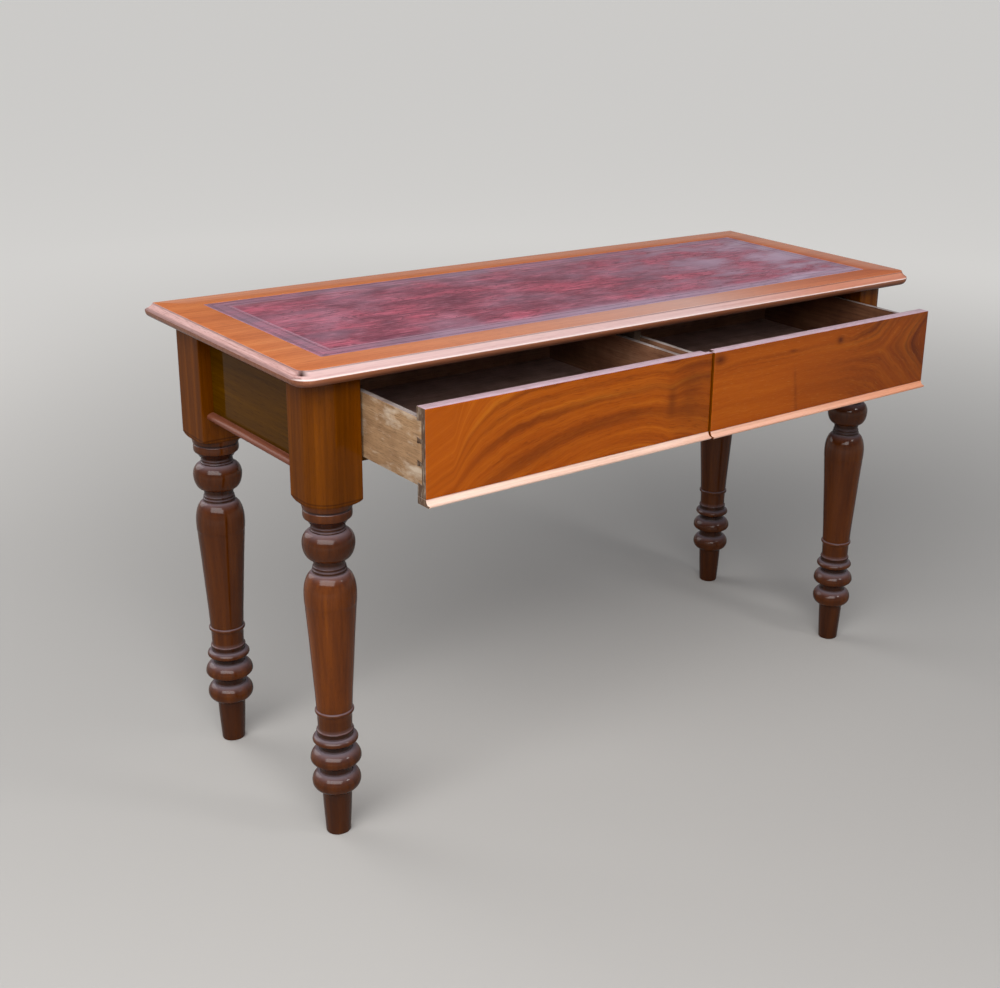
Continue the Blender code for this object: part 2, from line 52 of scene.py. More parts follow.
def gridMesh(name, grid, crease=38, rowFinish=None):
    # A closed skin through rows of points: each row is a loop, the next row joins it all the way
    # round, and the first and last rows are filled with a fan round their middle points.
    rows, columns = grid.shape[:2]
    row = np.arange(rows - 1)[:, None] * columns
    column = np.arange(columns)[None, :]
    following = (column + 1) % columns
    faces = np.stack([row + column, row + following, row + columns + following, row + columns + column], -1)
    faces = faces.reshape(-1, 4)
    around, after, last = column[0], following[0], (rows - 1) * columns
    points = np.concatenate([grid.reshape(-1, 3), [grid[0].mean(0)], [grid[-1].mean(0)]])
    first = np.stack([after, around, np.full(columns, len(points) - 2)], -1)
    end = np.stack([last + around, last + after, np.full(columns, len(points) - 1)], -1)
    fans = np.concatenate([first, end])
    corners = np.concatenate([faces[:, [0, 1, 2]], faces[:, [0, 2, 3]], fans])
    a, b, c = (points[corners[:, i]] for i in range(3))
    if np.einsum("ij,ij->i", a, np.cross(b, c)).sum() < 0:    # six times the volume: below 0 is inside out
        faces, fans = faces[:, ::-1], fans[:, ::-1]
    mesh = bpy.data.meshes.new(name)
    mesh.from_pydata(points.tolist(), [], faces.tolist() + fans.tolist())
    if rowFinish is not None:
        chosen = np.concatenate([np.repeat(rowFinish, columns), np.repeat([rowFinish[0], rowFinish[-1]], columns)])
        mesh.polygons.foreach_set("material_index", chosen.astype(np.int32))
    mesh.shade_smooth()
    mesh.set_sharp_from_angle(angle=math.radians(crease))
    made = bpy.data.objects.new(name, mesh)
    bpy.context.scene.collection.objects.link(made)
    return made


def traceProfile(start, rows):
    # A profile as points (along, out). Each row is an end point, the way there and its steps:
    # swell is a quarter ellipse that sets off outwards, fall one that sets off along, round an
    # eighth of a turn, and hollow a straight run sunk by 0.08 of its length at the middle.
    points = [np.array([start], float)]
    at = np.array(start, float)
    for along, out, way, steps in rows:
        end = np.array([along, out], float)
        t = np.linspace(0, 1, steps + 1)[1:]
        turn = t * math.pi / 2
        shares = {"swell": (1 - np.cos(turn), np.sin(turn)), "fall": (np.sin(turn), 1 - np.cos(turn)),
                  "line": (t, t), "hollow": (t - 0.08 * np.sin(2 * turn), t + 0.08 * np.sin(2 * turn)),
                  "round": (np.sin(turn / 2) / math.sin(math.pi / 4),
                            (1 - np.cos(turn / 2)) / (1 - math.cos(math.pi / 4)))}[way]
        points.append(at + (end - at) * np.stack(shares, -1))
        at = end
    return np.concatenate(points)


def roundedLoops(box, profile, radii, cornerSteps):
    # One loop round a rectangle for each row of the profile (height, inset), in mm over the box's
    # low corner. The corner radii, front and back, shrink with the inset.
    low, high = (np.array(corner) for corner in box)
    corner = np.repeat([0, 1, 2, 3], cornerSteps + 1)
    turn = (corner + np.tile(np.linspace(0, 1, cornerSteps + 1), 4)) * math.pi / 2
    signs = np.array([[1, 1], [-1, 1], [-1, -1], [1, -1]])[corner]
    inset = profile[:, 1:] * mm
    radius = np.maximum(np.where(signs[:, 1] > 0, radii[1], radii[0]) * mm - inset, 0.2 * mm)
    middle, half = (low + high) / 2, (high - low) / 2
    x = middle[0] + signs[:, 0] * (half[0] - inset - radius) + radius * np.cos(turn)
    y = middle[1] + signs[:, 1] * (half[1] - inset - radius) + radius * np.sin(turn)
    z = low[2] + profile[:, :1] * mm + np.zeros_like(x)
    return np.stack([x, y, z], -1)


def setAttribute(piece, name, values, kind="FLOAT"):
    field = "value" if kind == "FLOAT" else "vector"
    made = piece.data.attributes.new(name, kind, "POINT")
    made.data.foreach_set(field, np.asarray(values, np.float32).ravel())


def vertexPlaces(piece):
    places = np.empty(len(piece.data.vertices) * 3, np.float32)
    piece.data.vertices.foreach_get("co", places)
    return places.reshape(-1, 3).astype(float)


def easedBoard(name, node, ease, cutEvery=None):
    # A board's own solid with its long outer edges rounded over, as a plane and paper leave them;
    # the joints' short edges stay crisp. With cutEvery, a grid of cuts lets it carry a figure.
    work = bmesh.new()
    work.from_mesh(nodes[node].data)
    bmesh.ops.remove_doubles(work, verts=work.verts, dist=0.01 * mm)
    bmesh.ops.dissolve_limit(work, angle_limit=math.radians(0.5), verts=work.verts, edges=work.edges)
    edges = [e for e in work.edges if e.calc_length() > 60 * mm and e.is_convex
             and e.calc_face_angle(0) > math.radians(30)]
    bmesh.ops.bevel(work, geom=edges, offset=ease * mm, segments=3, profile=0.5, affect="EDGES",
                    clamp_overlap=True)
    if cutEvery:
        low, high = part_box(node)
        for axis in (0, 2):
            normal = [1.0 if i == axis else 0.0 for i in range(3)]
            for at in np.arange(low[axis] + cutEvery * mm, high[axis], cutEvery * mm):
                bmesh.ops.bisect_plane(work, geom=work.verts[:] + work.edges[:] + work.faces[:],
                                       dist=0.001 * mm, plane_co=[c * at for c in normal], plane_no=normal)
    mesh = bpy.data.meshes.new(name)
    work.to_mesh(mesh)
    work.free()
    mesh.materials.clear()
    mesh.shade_smooth()
    mesh.set_sharp_from_angle(angle=math.radians(38))
    made = bpy.data.objects.new(name, mesh)
    bpy.context.scene.collection.objects.link(made)
    return made


def finishByFacing(piece, facings):
    # Each face takes the finish whose direction it faces within 45 degrees, else the first one.
    mesh = piece.data
    normals = np.empty(len(mesh.polygons) * 3, np.float32)
    mesh.polygons.foreach_get("normal", normals)
    chosen = np.zeros(len(mesh.polygons), np.int32)
    for i, (direction, material) in enumerate(facings):
        mesh.materials.append(material)
        if i:
            chosen[normals.reshape(-1, 3) @ np.array(direction, np.float32) > 0.71] = i
    mesh.polygons.foreach_set("material_index", chosen)


def fit(piece, body, node, slotName, *materials):
    # The piece stands for a node, moves with its body and takes its finishes.
    for material in materials:
        piece.data.materials.append(material)
    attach(piece, body)
    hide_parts(node)


# Materials

def linearColour(code):
    # sRGB hex to linear light: a channel over 12.92 below 0.04045, else ((c + 0.055) / 1.055) ^ 2.4.
    channels = np.array([int(code[i:i + 2], 16) for i in (1, 3, 5)]) / 255
    linear = np.where(channels <= 0.04045, channels / 12.92, ((channels + 0.055) / 1.055) ** 2.4)
    return (*linear.tolist(), 1.0)


def addNode(tree, kind, settings=None, links=None, stops=None):
    # Settings are the node's own properties or its sockets' values, links feed its sockets from
    # others' outputs, and stops are a ramp's positions with colours or plain shares.
    node = tree.nodes.new("ShaderNode" + kind)
    for key, value in (settings or {}).items():
        if isinstance(key, str) and hasattr(node, key):
            setattr(node, key, value)
        else:
            node.inputs[key].default_value = value
    for key, source in (links or {}).items():
        tree.links.new(source, node.inputs[key])
    for i, (position, colour) in enumerate(stops or []):
        elements = node.color_ramp.elements
        element = elements[i] if i < 2 else elements.new(position)
        element.position = position
        element.color = linearColour(colour) if isinstance(colour, str) else (colour, colour, colour, 1)
    return node


def startMaterial(name, surface):
    # A Principled material whose uniform values sit on the shader's own sockets.
    material = bpy.data.materials.new(name)
    material.use_nodes = True
    shader = material.node_tree.nodes["Principled BSDF"]
    for socket, value in surface.items():
        shader.inputs[socket].default_value = value
    return material, material.node_tree, shader


def grainVector(tree, axis):
    # Object coordinates turned so that X runs with the grain.
    place = addNode(tree, "TexCoord")
    turns = {"X": (0, 0, 0), "Y": (0, 0, -math.pi / 2), "Z": (0, math.pi / 2, 0)}
    return addNode(tree, "Mapping", {"Rotation": turns[axis]}, {"Vector": place.outputs["Object"]}).outputs[0]


def layTones(tree, colour, layers):
    # Stains, grime, wear, painted shade and painted sheen laid over a colour in turn: where each
    # shows, its tone, and how it mixes, MULTIPLY for what soaks in or darkens and MIX for what lies on top.
    for share, tone, way in layers:
        colour = addNode(tree, "Mix", {"data_type": "RGBA", "blend_type": way, 7: linearColour(tone)},
                         {0: share, 6: colour}).outputs[2]
    return colour


def woodTone(tree, vector, look):
    # Bands, streaks and pores: each is a noise drawn out along X of the vector, with its sizes in
    # mm across and along the grain. Gives the wood's colour and how deep its pores are.
    across, along = look["wanderMm"]
    slow = addNode(tree, "Mapping", {"Scale": (1000 / along, 1000 / across, 1000 / across)}, {"Vector": vector})
    wander = addNode(tree, "TexNoise", {"Scale": 1.0, "Detail": 2.0}, {"Vector": slow.outputs[0]})
    centred = addNode(tree, "VectorMath", {"operation": "SUBTRACT", 1: (0.5, 0.5, 0.5)},
                      {0: wander.outputs["Color"]})
    byMm = look["wanderByMm"] * mm * 2
    warped = addNode(tree, "VectorMath", {"operation": "MULTIPLY_ADD", 1: (0, byMm, byMm)},
                     {0: centred.outputs[0], 2: vector}).outputs[0]
    layers = {}
    for layer, detail in (("band", 2.0), ("streak", 5.0), ("pore", 1.0)):
        across, along = look[layer + "Mm"]
        drawn = addNode(tree, "Mapping", {"Scale": (1000 / along, 1000 / across, 1000 / across)},
                        {"Vector": warped})
        layers[layer] = addNode(tree, "TexNoise", {"Scale": 1.0, "Detail": detail, "Roughness": 0.6},
                                {"Vector": drawn.outputs[0]}).outputs["Fac"]
    mixed = addNode(tree, "Mix", {"data_type": "FLOAT", "Factor": look["streakShare"]},
                    {2: layers["band"], 3: layers["streak"]}).outputs[0]
    colour = addNode(tree, "ValToRGB", {}, {"Fac": mixed}, look["tones"]).outputs["Color"]
    pores = addNode(tree, "MapRange", {"From Min": 0.56, "From Max": 0.70, "To Max": look["poreDepth"]},
                    {"Value": layers["pore"]}).outputs[0]
    return layTones(tree, colour, [(pores, look["poreTone"], "MULTIPLY")]), pores


def polish(tree, shader, pores, depthMm=0.03, waveMm=16, waveByMm=0.04):
    # French polish: the pores print through a little, under a film with a faint slow wave.
    place = addNode(tree, "TexCoord").outputs["Object"]
    wave = addNode(tree, "TexNoise", {"Scale": 1000 / waveMm, "Detail": 1.0}, {"Vector": place}).outputs["Fac"]
    film = addNode(tree, "Bump", {"Distance": waveByMm * mm}, {"Height": wave}).outputs[0]
    pitted = addNode(tree, "Bump", {"Distance": depthMm * mm, "invert": True}, {"Height": pores, "Normal": film})
    tree.links.new(pitted.outputs[0], shader.inputs["Normal"])
    tree.links.new(film, shader.inputs["Coat Normal"])


# Shellac film (IOR 1.5) over wood of the same index, so that only the film shines.
frenchPolish = {"Roughness": 0.5, "IOR": 1.5, "Specular IOR Level": 0.0, "Coat Weight": 0.5,
                "Coat Roughness": 0.06, "Coat IOR": 1.5}

# sheenTone is the colour of the painted sheen and highlights
mahoganyGrain = {    # sizes across and along the grain in mm; real pores are 0.2 x 6, too fine to show
    "wanderMm": (60, 420), "wanderByMm": 5, "bandMm": (34, 900), "streakMm": (4.0, 190), "poreMm": (0.9, 20),
    "streakShare": 0.42, "poreDepth": 0.35, "poreTone": "#6A4030", "sheenTone": "#968890",
    "warmTone": "#F6BC96"}


def mahogany(name, axis, tones, changes=None, surface=None):
    # Wood with its grain along an axis. The grime attribute darkens hollows with old polish
    # and paints shade under the turnings and the top's nose, the bloomAndSheen attribute paints a sheen
    # and highlights of the light on what faces up and on the top, and the warm attribute reddens the wood.
    look = {**mahoganyGrain, "tones": tones, **(changes or {})}
    material, tree, shader = startMaterial(name, {**frenchPolish, **(surface or {})})
    colour, pores = woodTone(tree, grainVector(tree, axis), look)
    grime, bloomAndSheen, warm = (addNode(tree, "Attribute", {"attribute_name": word}).outputs["Fac"]
                          for word in ("grime", "bloomAndSheen", "warm"))
    tree.links.new(layTones(tree, colour, [(grime, "#40241A", "MULTIPLY"), (bloomAndSheen, look["sheenTone"], "MIX"),
                                           (warm, look["warmTone"], "MULTIPLY")]), shader.inputs["Base Color"])
    polish(tree, shader, pores)
    return material


topTones = [(0.30, "#AE5C2A"), (0.46, "#C26A34"), (0.58, "#CE773E"), (0.74, "#D8884E")]
slopeTones = [(0.30, "#C49C98"), (0.50, "#D2B0AC"), (0.74, "#DFC2BC")]
sideSlopeTones = [(0.30, "#A0766E"), (0.50, "#C09690"), (0.74, "#D6B6B2")]
noseTones = [(0.30, "#7E482E"), (0.50, "#965C40"), (0.74, "#AC7052")]
legTones = [(0.30, "#4A2000"), (0.46, "#5C2A00"), (0.60, "#6A3300"), (0.76, "#7C4000")]
headTones = [(0.30, "#482200"), (0.46, "#5A2C00"), (0.60, "#6A3600"), (0.76, "#7C4404")]
panelTones = [(0.30, "#3A2200"), (0.48, "#4A2C00"), (0.62, "#583600"), (0.76, "#684204")]
lipTones = [(0.30, "#D4AA94"), (0.50, "#E9C8B6"), (0.74, "#F1DACC")]
beadTones = [(0.30, "#5C2E1E"), (0.50, "#754432"), (0.74, "#8A5A48")]

narrow = {"bandMm": (7, 600), "streakMm": (1.6, 120), "streakShare": 0.3,
          "poreDepth": 0.12, "sheenTone": "#F8E8E2"}    # on strips sawn from thin stock
turnedGrain = {"bandMm": (17, 700), "streakMm": (3.4, 150), "streakShare": 0.3, "poreMm": (0.7, 14),
               "poreDepth": 0.25}
topMahogany = mahogany("frenchPolishedMahoganyTop", "X", topTones,
                       {"sheenTone": "#D6C0BC"})    # sun-faded orange under a clear gloss, with a pale painted sheen
slopeMahogany = mahogany("frenchPolishedMahoganyEdge", "X", slopeTones, narrow,
                         {"Coat Weight": 0.3, "Coat Roughness": 0.2})    # pale pink as a painted sheen of the light, and half dull
sideSlopeMahogany = mahogany("frenchPolishedMahoganySideEdge", "Y", sideSlopeTones,
                             {**narrow, "streakShare": 0.6, "poreDepth": 0.4},
                             {"Coat Weight": 0.2, "Coat Roughness": 0.3})    # worn end grain, streaked brown
noseMahogany = mahogany("frenchPolishedMahoganyNose", "X", noseTones, narrow)    # brown, darker than the flat as painted shade, and darkest underneath
panelMahoganyAcross = mahogany("frenchPolishedMahoganyEnds", "Y", panelTones, None, {"Coat Weight": 0.16})
panelMahoganyAlong = mahogany("frenchPolishedMahoganyBack", "X", panelTones, None, {"Coat Weight": 0.16})
lipMahogany = mahogany("frenchPolishedMahoganyLips", "X", lipTones, narrow,
                       {"Coat Roughness": 0.15})    # pale as a painted sheen of the light, red at the right
beadMahogany = mahogany("frenchPolishedMahoganyBeads", "Y", beadTones, narrow,
                        {"Coat Weight": 0.35, "Coat Roughness": 0.2})
headMahogany = mahogany("frenchPolishedMahoganyLegHeads", "Z", headTones, turnedGrain,
                        {"Coat Weight": 0.18, "Coat Roughness": 0.12})    # planed faces with a thinner film
legMahogany = mahogany("frenchPolishedMahoganyLegs", "Z", legTones, turnedGrain,
                       {"Coat Weight": 0.5, "Coat Roughness": 0.12})    # burnished on the lathe, a full gloss
print("mahogany mixed")

figureLook = {    # grain along the level lines of the figure that each drawer front carries
    **mahoganyGrain, "wanderByMm": 1.5, "bandMm": (17, 420), "streakMm": (3.0, 120), "poreMm": (0.9, 16),
    "streakShare": 0.36, "poreDepth": 0.3, "bandTone": "#6A3816", "shadeTone": "#5A2E14",
    "tones": [(0.28, "#823900"), (0.45, "#9A4600"), (0.57, "#AC5606"), (0.74, "#C27216")],
    "calmTone": "#A64D02", "fleckTone": "#C98838", "fleckMm": (1.0, 16)}


def figuredMahogany(name, darkBands, fleck):
    # The figure attribute is (along, across, shade): the grain's own coordinates in metres, and
    # how dark a knot or a smear is. The calm attribute is 1 where the figure fades to an even
    # tone. Dark bands are given by their place across the grain, in mm.
    look = figureLook
    material, tree, shader = startMaterial(name, {**frenchPolish, "Coat Weight": 0.36})
    figure = addNode(tree, "Attribute", {"attribute_name": "figure"}).outputs["Vector"]
    parts = addNode(tree, "SeparateXYZ", {}, {0: figure})
    flat = addNode(tree, "CombineXYZ", {}, {0: parts.outputs[0], 1: parts.outputs[1]}).outputs[0]
    place = addNode(tree, "TexCoord").outputs["Object"]
    ripple = addNode(tree, "TexNoise", {"Scale": 1000 / 38, "Detail": 3.0, "Roughness": 0.55}, {"Vector": place})
    offset = addNode(tree, "VectorMath", {"operation": "SUBTRACT", 1: (0.5, 0.5, 0.5)},
                     {0: ripple.outputs["Color"]})
    moved = addNode(tree, "VectorMath", {"operation": "MULTIPLY_ADD", 1: (20 * mm, 7 * mm, 0)},
                    {0: offset.outputs[0], 2: flat}).outputs[0]
    colour, pores = woodTone(tree, moved, look)
    spread = addNode(tree, "SeparateXYZ", {}, {0: moved})
    span = addNode(tree, "MapRange", {"From Max": 0.2}, {"Value": spread.outputs[1]}).outputs[0]
    bands = addNode(tree, "ValToRGB", {}, {"Fac": span}, [(at / 200, share) for at, share in darkBands])
    patchy = addNode(tree, "TexNoise", {"Scale": 1000 / 120, "Detail": 2.0}, {"Vector": place}).outputs["Fac"]
    strength = addNode(tree, "MapRange", {"From Min": 0.32, "From Max": 0.58, "To Min": 0.5}, {"Value": patchy})
    banding = addNode(tree, "Math", {"operation": "MULTIPLY"}, {0: bands.outputs["Color"], 1: strength.outputs[0]})
    across, along = look["fleckMm"]
    dashes = addNode(tree, "Mapping", {"Scale": (1000 / along, 1000 / across, 1)}, {"Vector": moved}).outputs[0]
    dash = addNode(tree, "TexNoise", {"Scale": 1.0, "Detail": 2.0}, {"Vector": dashes}).outputs["Fac"]
    glints = addNode(tree, "MapRange", {"From Min": 0.60, "From Max": 0.74, "To Max": fleck}, {"Value": dash})
    calm = addNode(tree, "Attribute", {"attribute_name": "calm"}).outputs["Fac"]
    colour = layTones(tree, colour, [(banding.outputs[0], look["bandTone"], "MULTIPLY"),
                                     (calm, look["calmTone"], "MIX"),
                                     (glints.outputs[0], look["fleckTone"], "MIX"),
                                     (parts.outputs[2], look["shadeTone"], "MULTIPLY")])
    tree.links.new(colour, shader.inputs["Base Color"])
    polish(tree, shader, pores)
    return material


plumeBands = [(0, 0.2), (20, 0.08), (38, 0.0), (49, 0.15), (57, 0.5), (62, 0.45), (70, 0.15), (79, 0.02),
              (86, 0.1), (91, 0.5), (95, 0.45), (100, 0.08), (108, 0.05), (112, 0.36), (114.5, 0.34), (118, 0.06),
              (123, 0.08), (126, 0.5), (128, 0.45), (132, 0.05), (165, 0.0), (200, 0.1)]
pinBands = [(0, 0.3), (16, 0.05), (30, 0.1), (36, 0.25), (42, 0.05), (62, 0.0), (84, 0.05), (87, 0.4), (89, 0.08),
            (93, 0.1), (95, 0.6), (97, 0.15), (99, 0.3), (101, 0.75), (104, 0.5), (107, 0.1), (116, 0.1),
            (121, 0.42), (124, 0.4), (130, 0.08), (160, 0.15)]
plumeMahogany = figuredMahogany("figuredMahoganyPlume", plumeBands, 0.12)
pinMahogany = figuredMahogany("figuredMahoganyPinKnots", pinBands, 0.35)

bareGrain = {"wanderMm": (40, 300), "wanderByMm": 4, "bandMm": (26, 420), "streakMm": (3.0, 120),
             "poreMm": (0.9, 18), "streakShare": 0.5, "poreDepth": 0.5, "poreTone": "#7A6650",
             "roughness": 0.7, "grime": 0.5, "grimeMm": 60, "rub": 0.0, "rubTone": "#D8CBB8", "rubMm": (16, 44)}


def bareWood(name, axis, tones, **changes):
    # Unpolished boards: dull, with handling grime in slow clouds over the grain and pale rubbed patches.
    look = {**bareGrain, "tones": tones, **changes}
    material, tree, shader = startMaterial(name, {"Roughness": look["roughness"], "IOR": 1.5,
                                                  "Specular IOR Level": 0.3})
    grain = grainVector(tree, axis)
    colour, pores = woodTone(tree, grain, look)
    place = addNode(tree, "TexCoord").outputs["Object"]
    cloud = addNode(tree, "TexNoise", {"Scale": 1000 / look["grimeMm"], "Detail": 4.0, "Roughness": 0.65},
                    {"Vector": place}).outputs["Fac"]
    grime = addNode(tree, "MapRange", {"From Min": 0.42, "From Max": 0.72, "To Max": look["grime"]},
                    {"Value": cloud}).outputs[0]
    across, along = look["rubMm"]
    rubbed = addNode(tree, "Mapping", {"Scale": (1000 / along, 1000 / across, 1000 / across)}, {"Vector": grain})
    scuff = addNode(tree, "TexNoise", {"Scale": 1.0, "Detail": 4.0, "Roughness": 0.62},
                    {"Vector": rubbed.outputs[0]}).outputs["Fac"]
    rub = addNode(tree, "MapRange", {"From Min": 0.48, "From Max": 0.70, "To Max": look["rub"]},
                  {"Value": scuff}).outputs[0]
    colour = layTones(tree, colour, [(grime, "#8A6B55", "MULTIPLY"), (rub, look["rubTone"], "MIX")])
    tree.links.new(colour, shader.inputs["Base Color"])
    bump = addNode(tree, "Bump", {"Strength": 0.5, "Distance": 0.2 * mm, "invert": True}, {"Height": pores})
    tree.links.new(bump.outputs[0], shader.inputs["Normal"])
    return material


sideOuterTones = [(0.30, "#8A6A4A"), (0.48, "#9C7A58"), (0.62, "#AC8B68"), (0.76, "#BCA080")]
sideInnerTones = [(0.30, "#65422E"), (0.50, "#7E5740"), (0.74, "#947058")]
darkInnerTones = [(0.30, "#482A1C"), (0.50, "#5E3C28"), (0.74, "#74523C")]
floorTones = [(0.30, "#8A6C62"), (0.50, "#A28074"), (0.74, "#B69486")]
pineTones = [(0.30, "#4E3E32"), (0.50, "#625041"), (0.74, "#766251")]
endGrainTones = [(0.30, "#3E2A1C"), (0.50, "#563E2C"), (0.74, "#70563F")]
edgeTones = [(0.30, "#B4949E"), (0.50, "#CAACB6"), (0.74, "#DCC2CC")]
sideTopTones = [(0.30, "#867872"), (0.50, "#AEA29E"), (0.74, "#D0C6C4")]
sideOuter = bareWood("agedAshSideOutside", "Y", sideOuterTones, rub=0.5, grime=0.4)    # beige, rubbed whitish
sideInner = bareWood("stainedAshSideInside", "Y", sideInnerTones, roughness=0.5)    # handled dark brown
sideInnerDark = bareWood("darkStainedAshSideInside", "Y", darkInnerTones, roughness=0.5)    # the right drawer's
# the drawer sides' top edges pale blue-grey: a painted sheen over some dust
sideTop = bareWood("paleSheenAshSideTop", "Y", sideTopTones, roughness=0.45, grime=0.6)
backInner = bareWood("stainedAshBack", "X", sideInnerTones, roughness=0.5)
frontTop = bareWood("paintedSheenMahoganyFrontTop", "X", edgeTones, roughness=0.4, grime=0.2)    # pinkish lilac: a painted sheen
frontEnd = bareWood("darkMahoganyEndGrain", "Z", endGrainTones, roughness=0.5, rub=0.35, rubMm=(4, 14))
frontInside = bareWood("stainedMahoganyFrontInside", "X", sideInnerTones, roughness=0.5)
pineFloors = bareWood("agedPineFloors", "X", floorTones, roughness=0.75)
pineRails = bareWood("agedPineBearers", "Y", pineTones, roughness=0.75)
pineAlong = bareWood("agedPineBlocks", "X", pineTones, roughness=0.75)
print("bare woods mixed")

hideLook = {    # hand-dyed, waxed and buffed skiver; sizes across and along the desk in mm
    "deep": "#66283A", "mid": "#8A3F50", "rosy": "#C0566A", "bloomAndSheen": "#C8ABC1", "border": "#9C8698",
    "bloomShare": 0.22, "rightSheenFrom": 0.0, "rightSheenTo": 0.6, "rightSheenShare": 0.68, "frontEdgeSheen": 0.55,
    "rubTone": "#CCA4B4", "rubShare": 0.34,
    "toolTone": "#6A5468", "highlightLineTone": "#BFA4B2", "cloudMm": (46, 120), "streakMm": (2.2, 34),
    "creaseMm": (14, 70), "pebbleMm": 2.0}    # a real pebble grain is 0.5 mm, drawn coarser to show


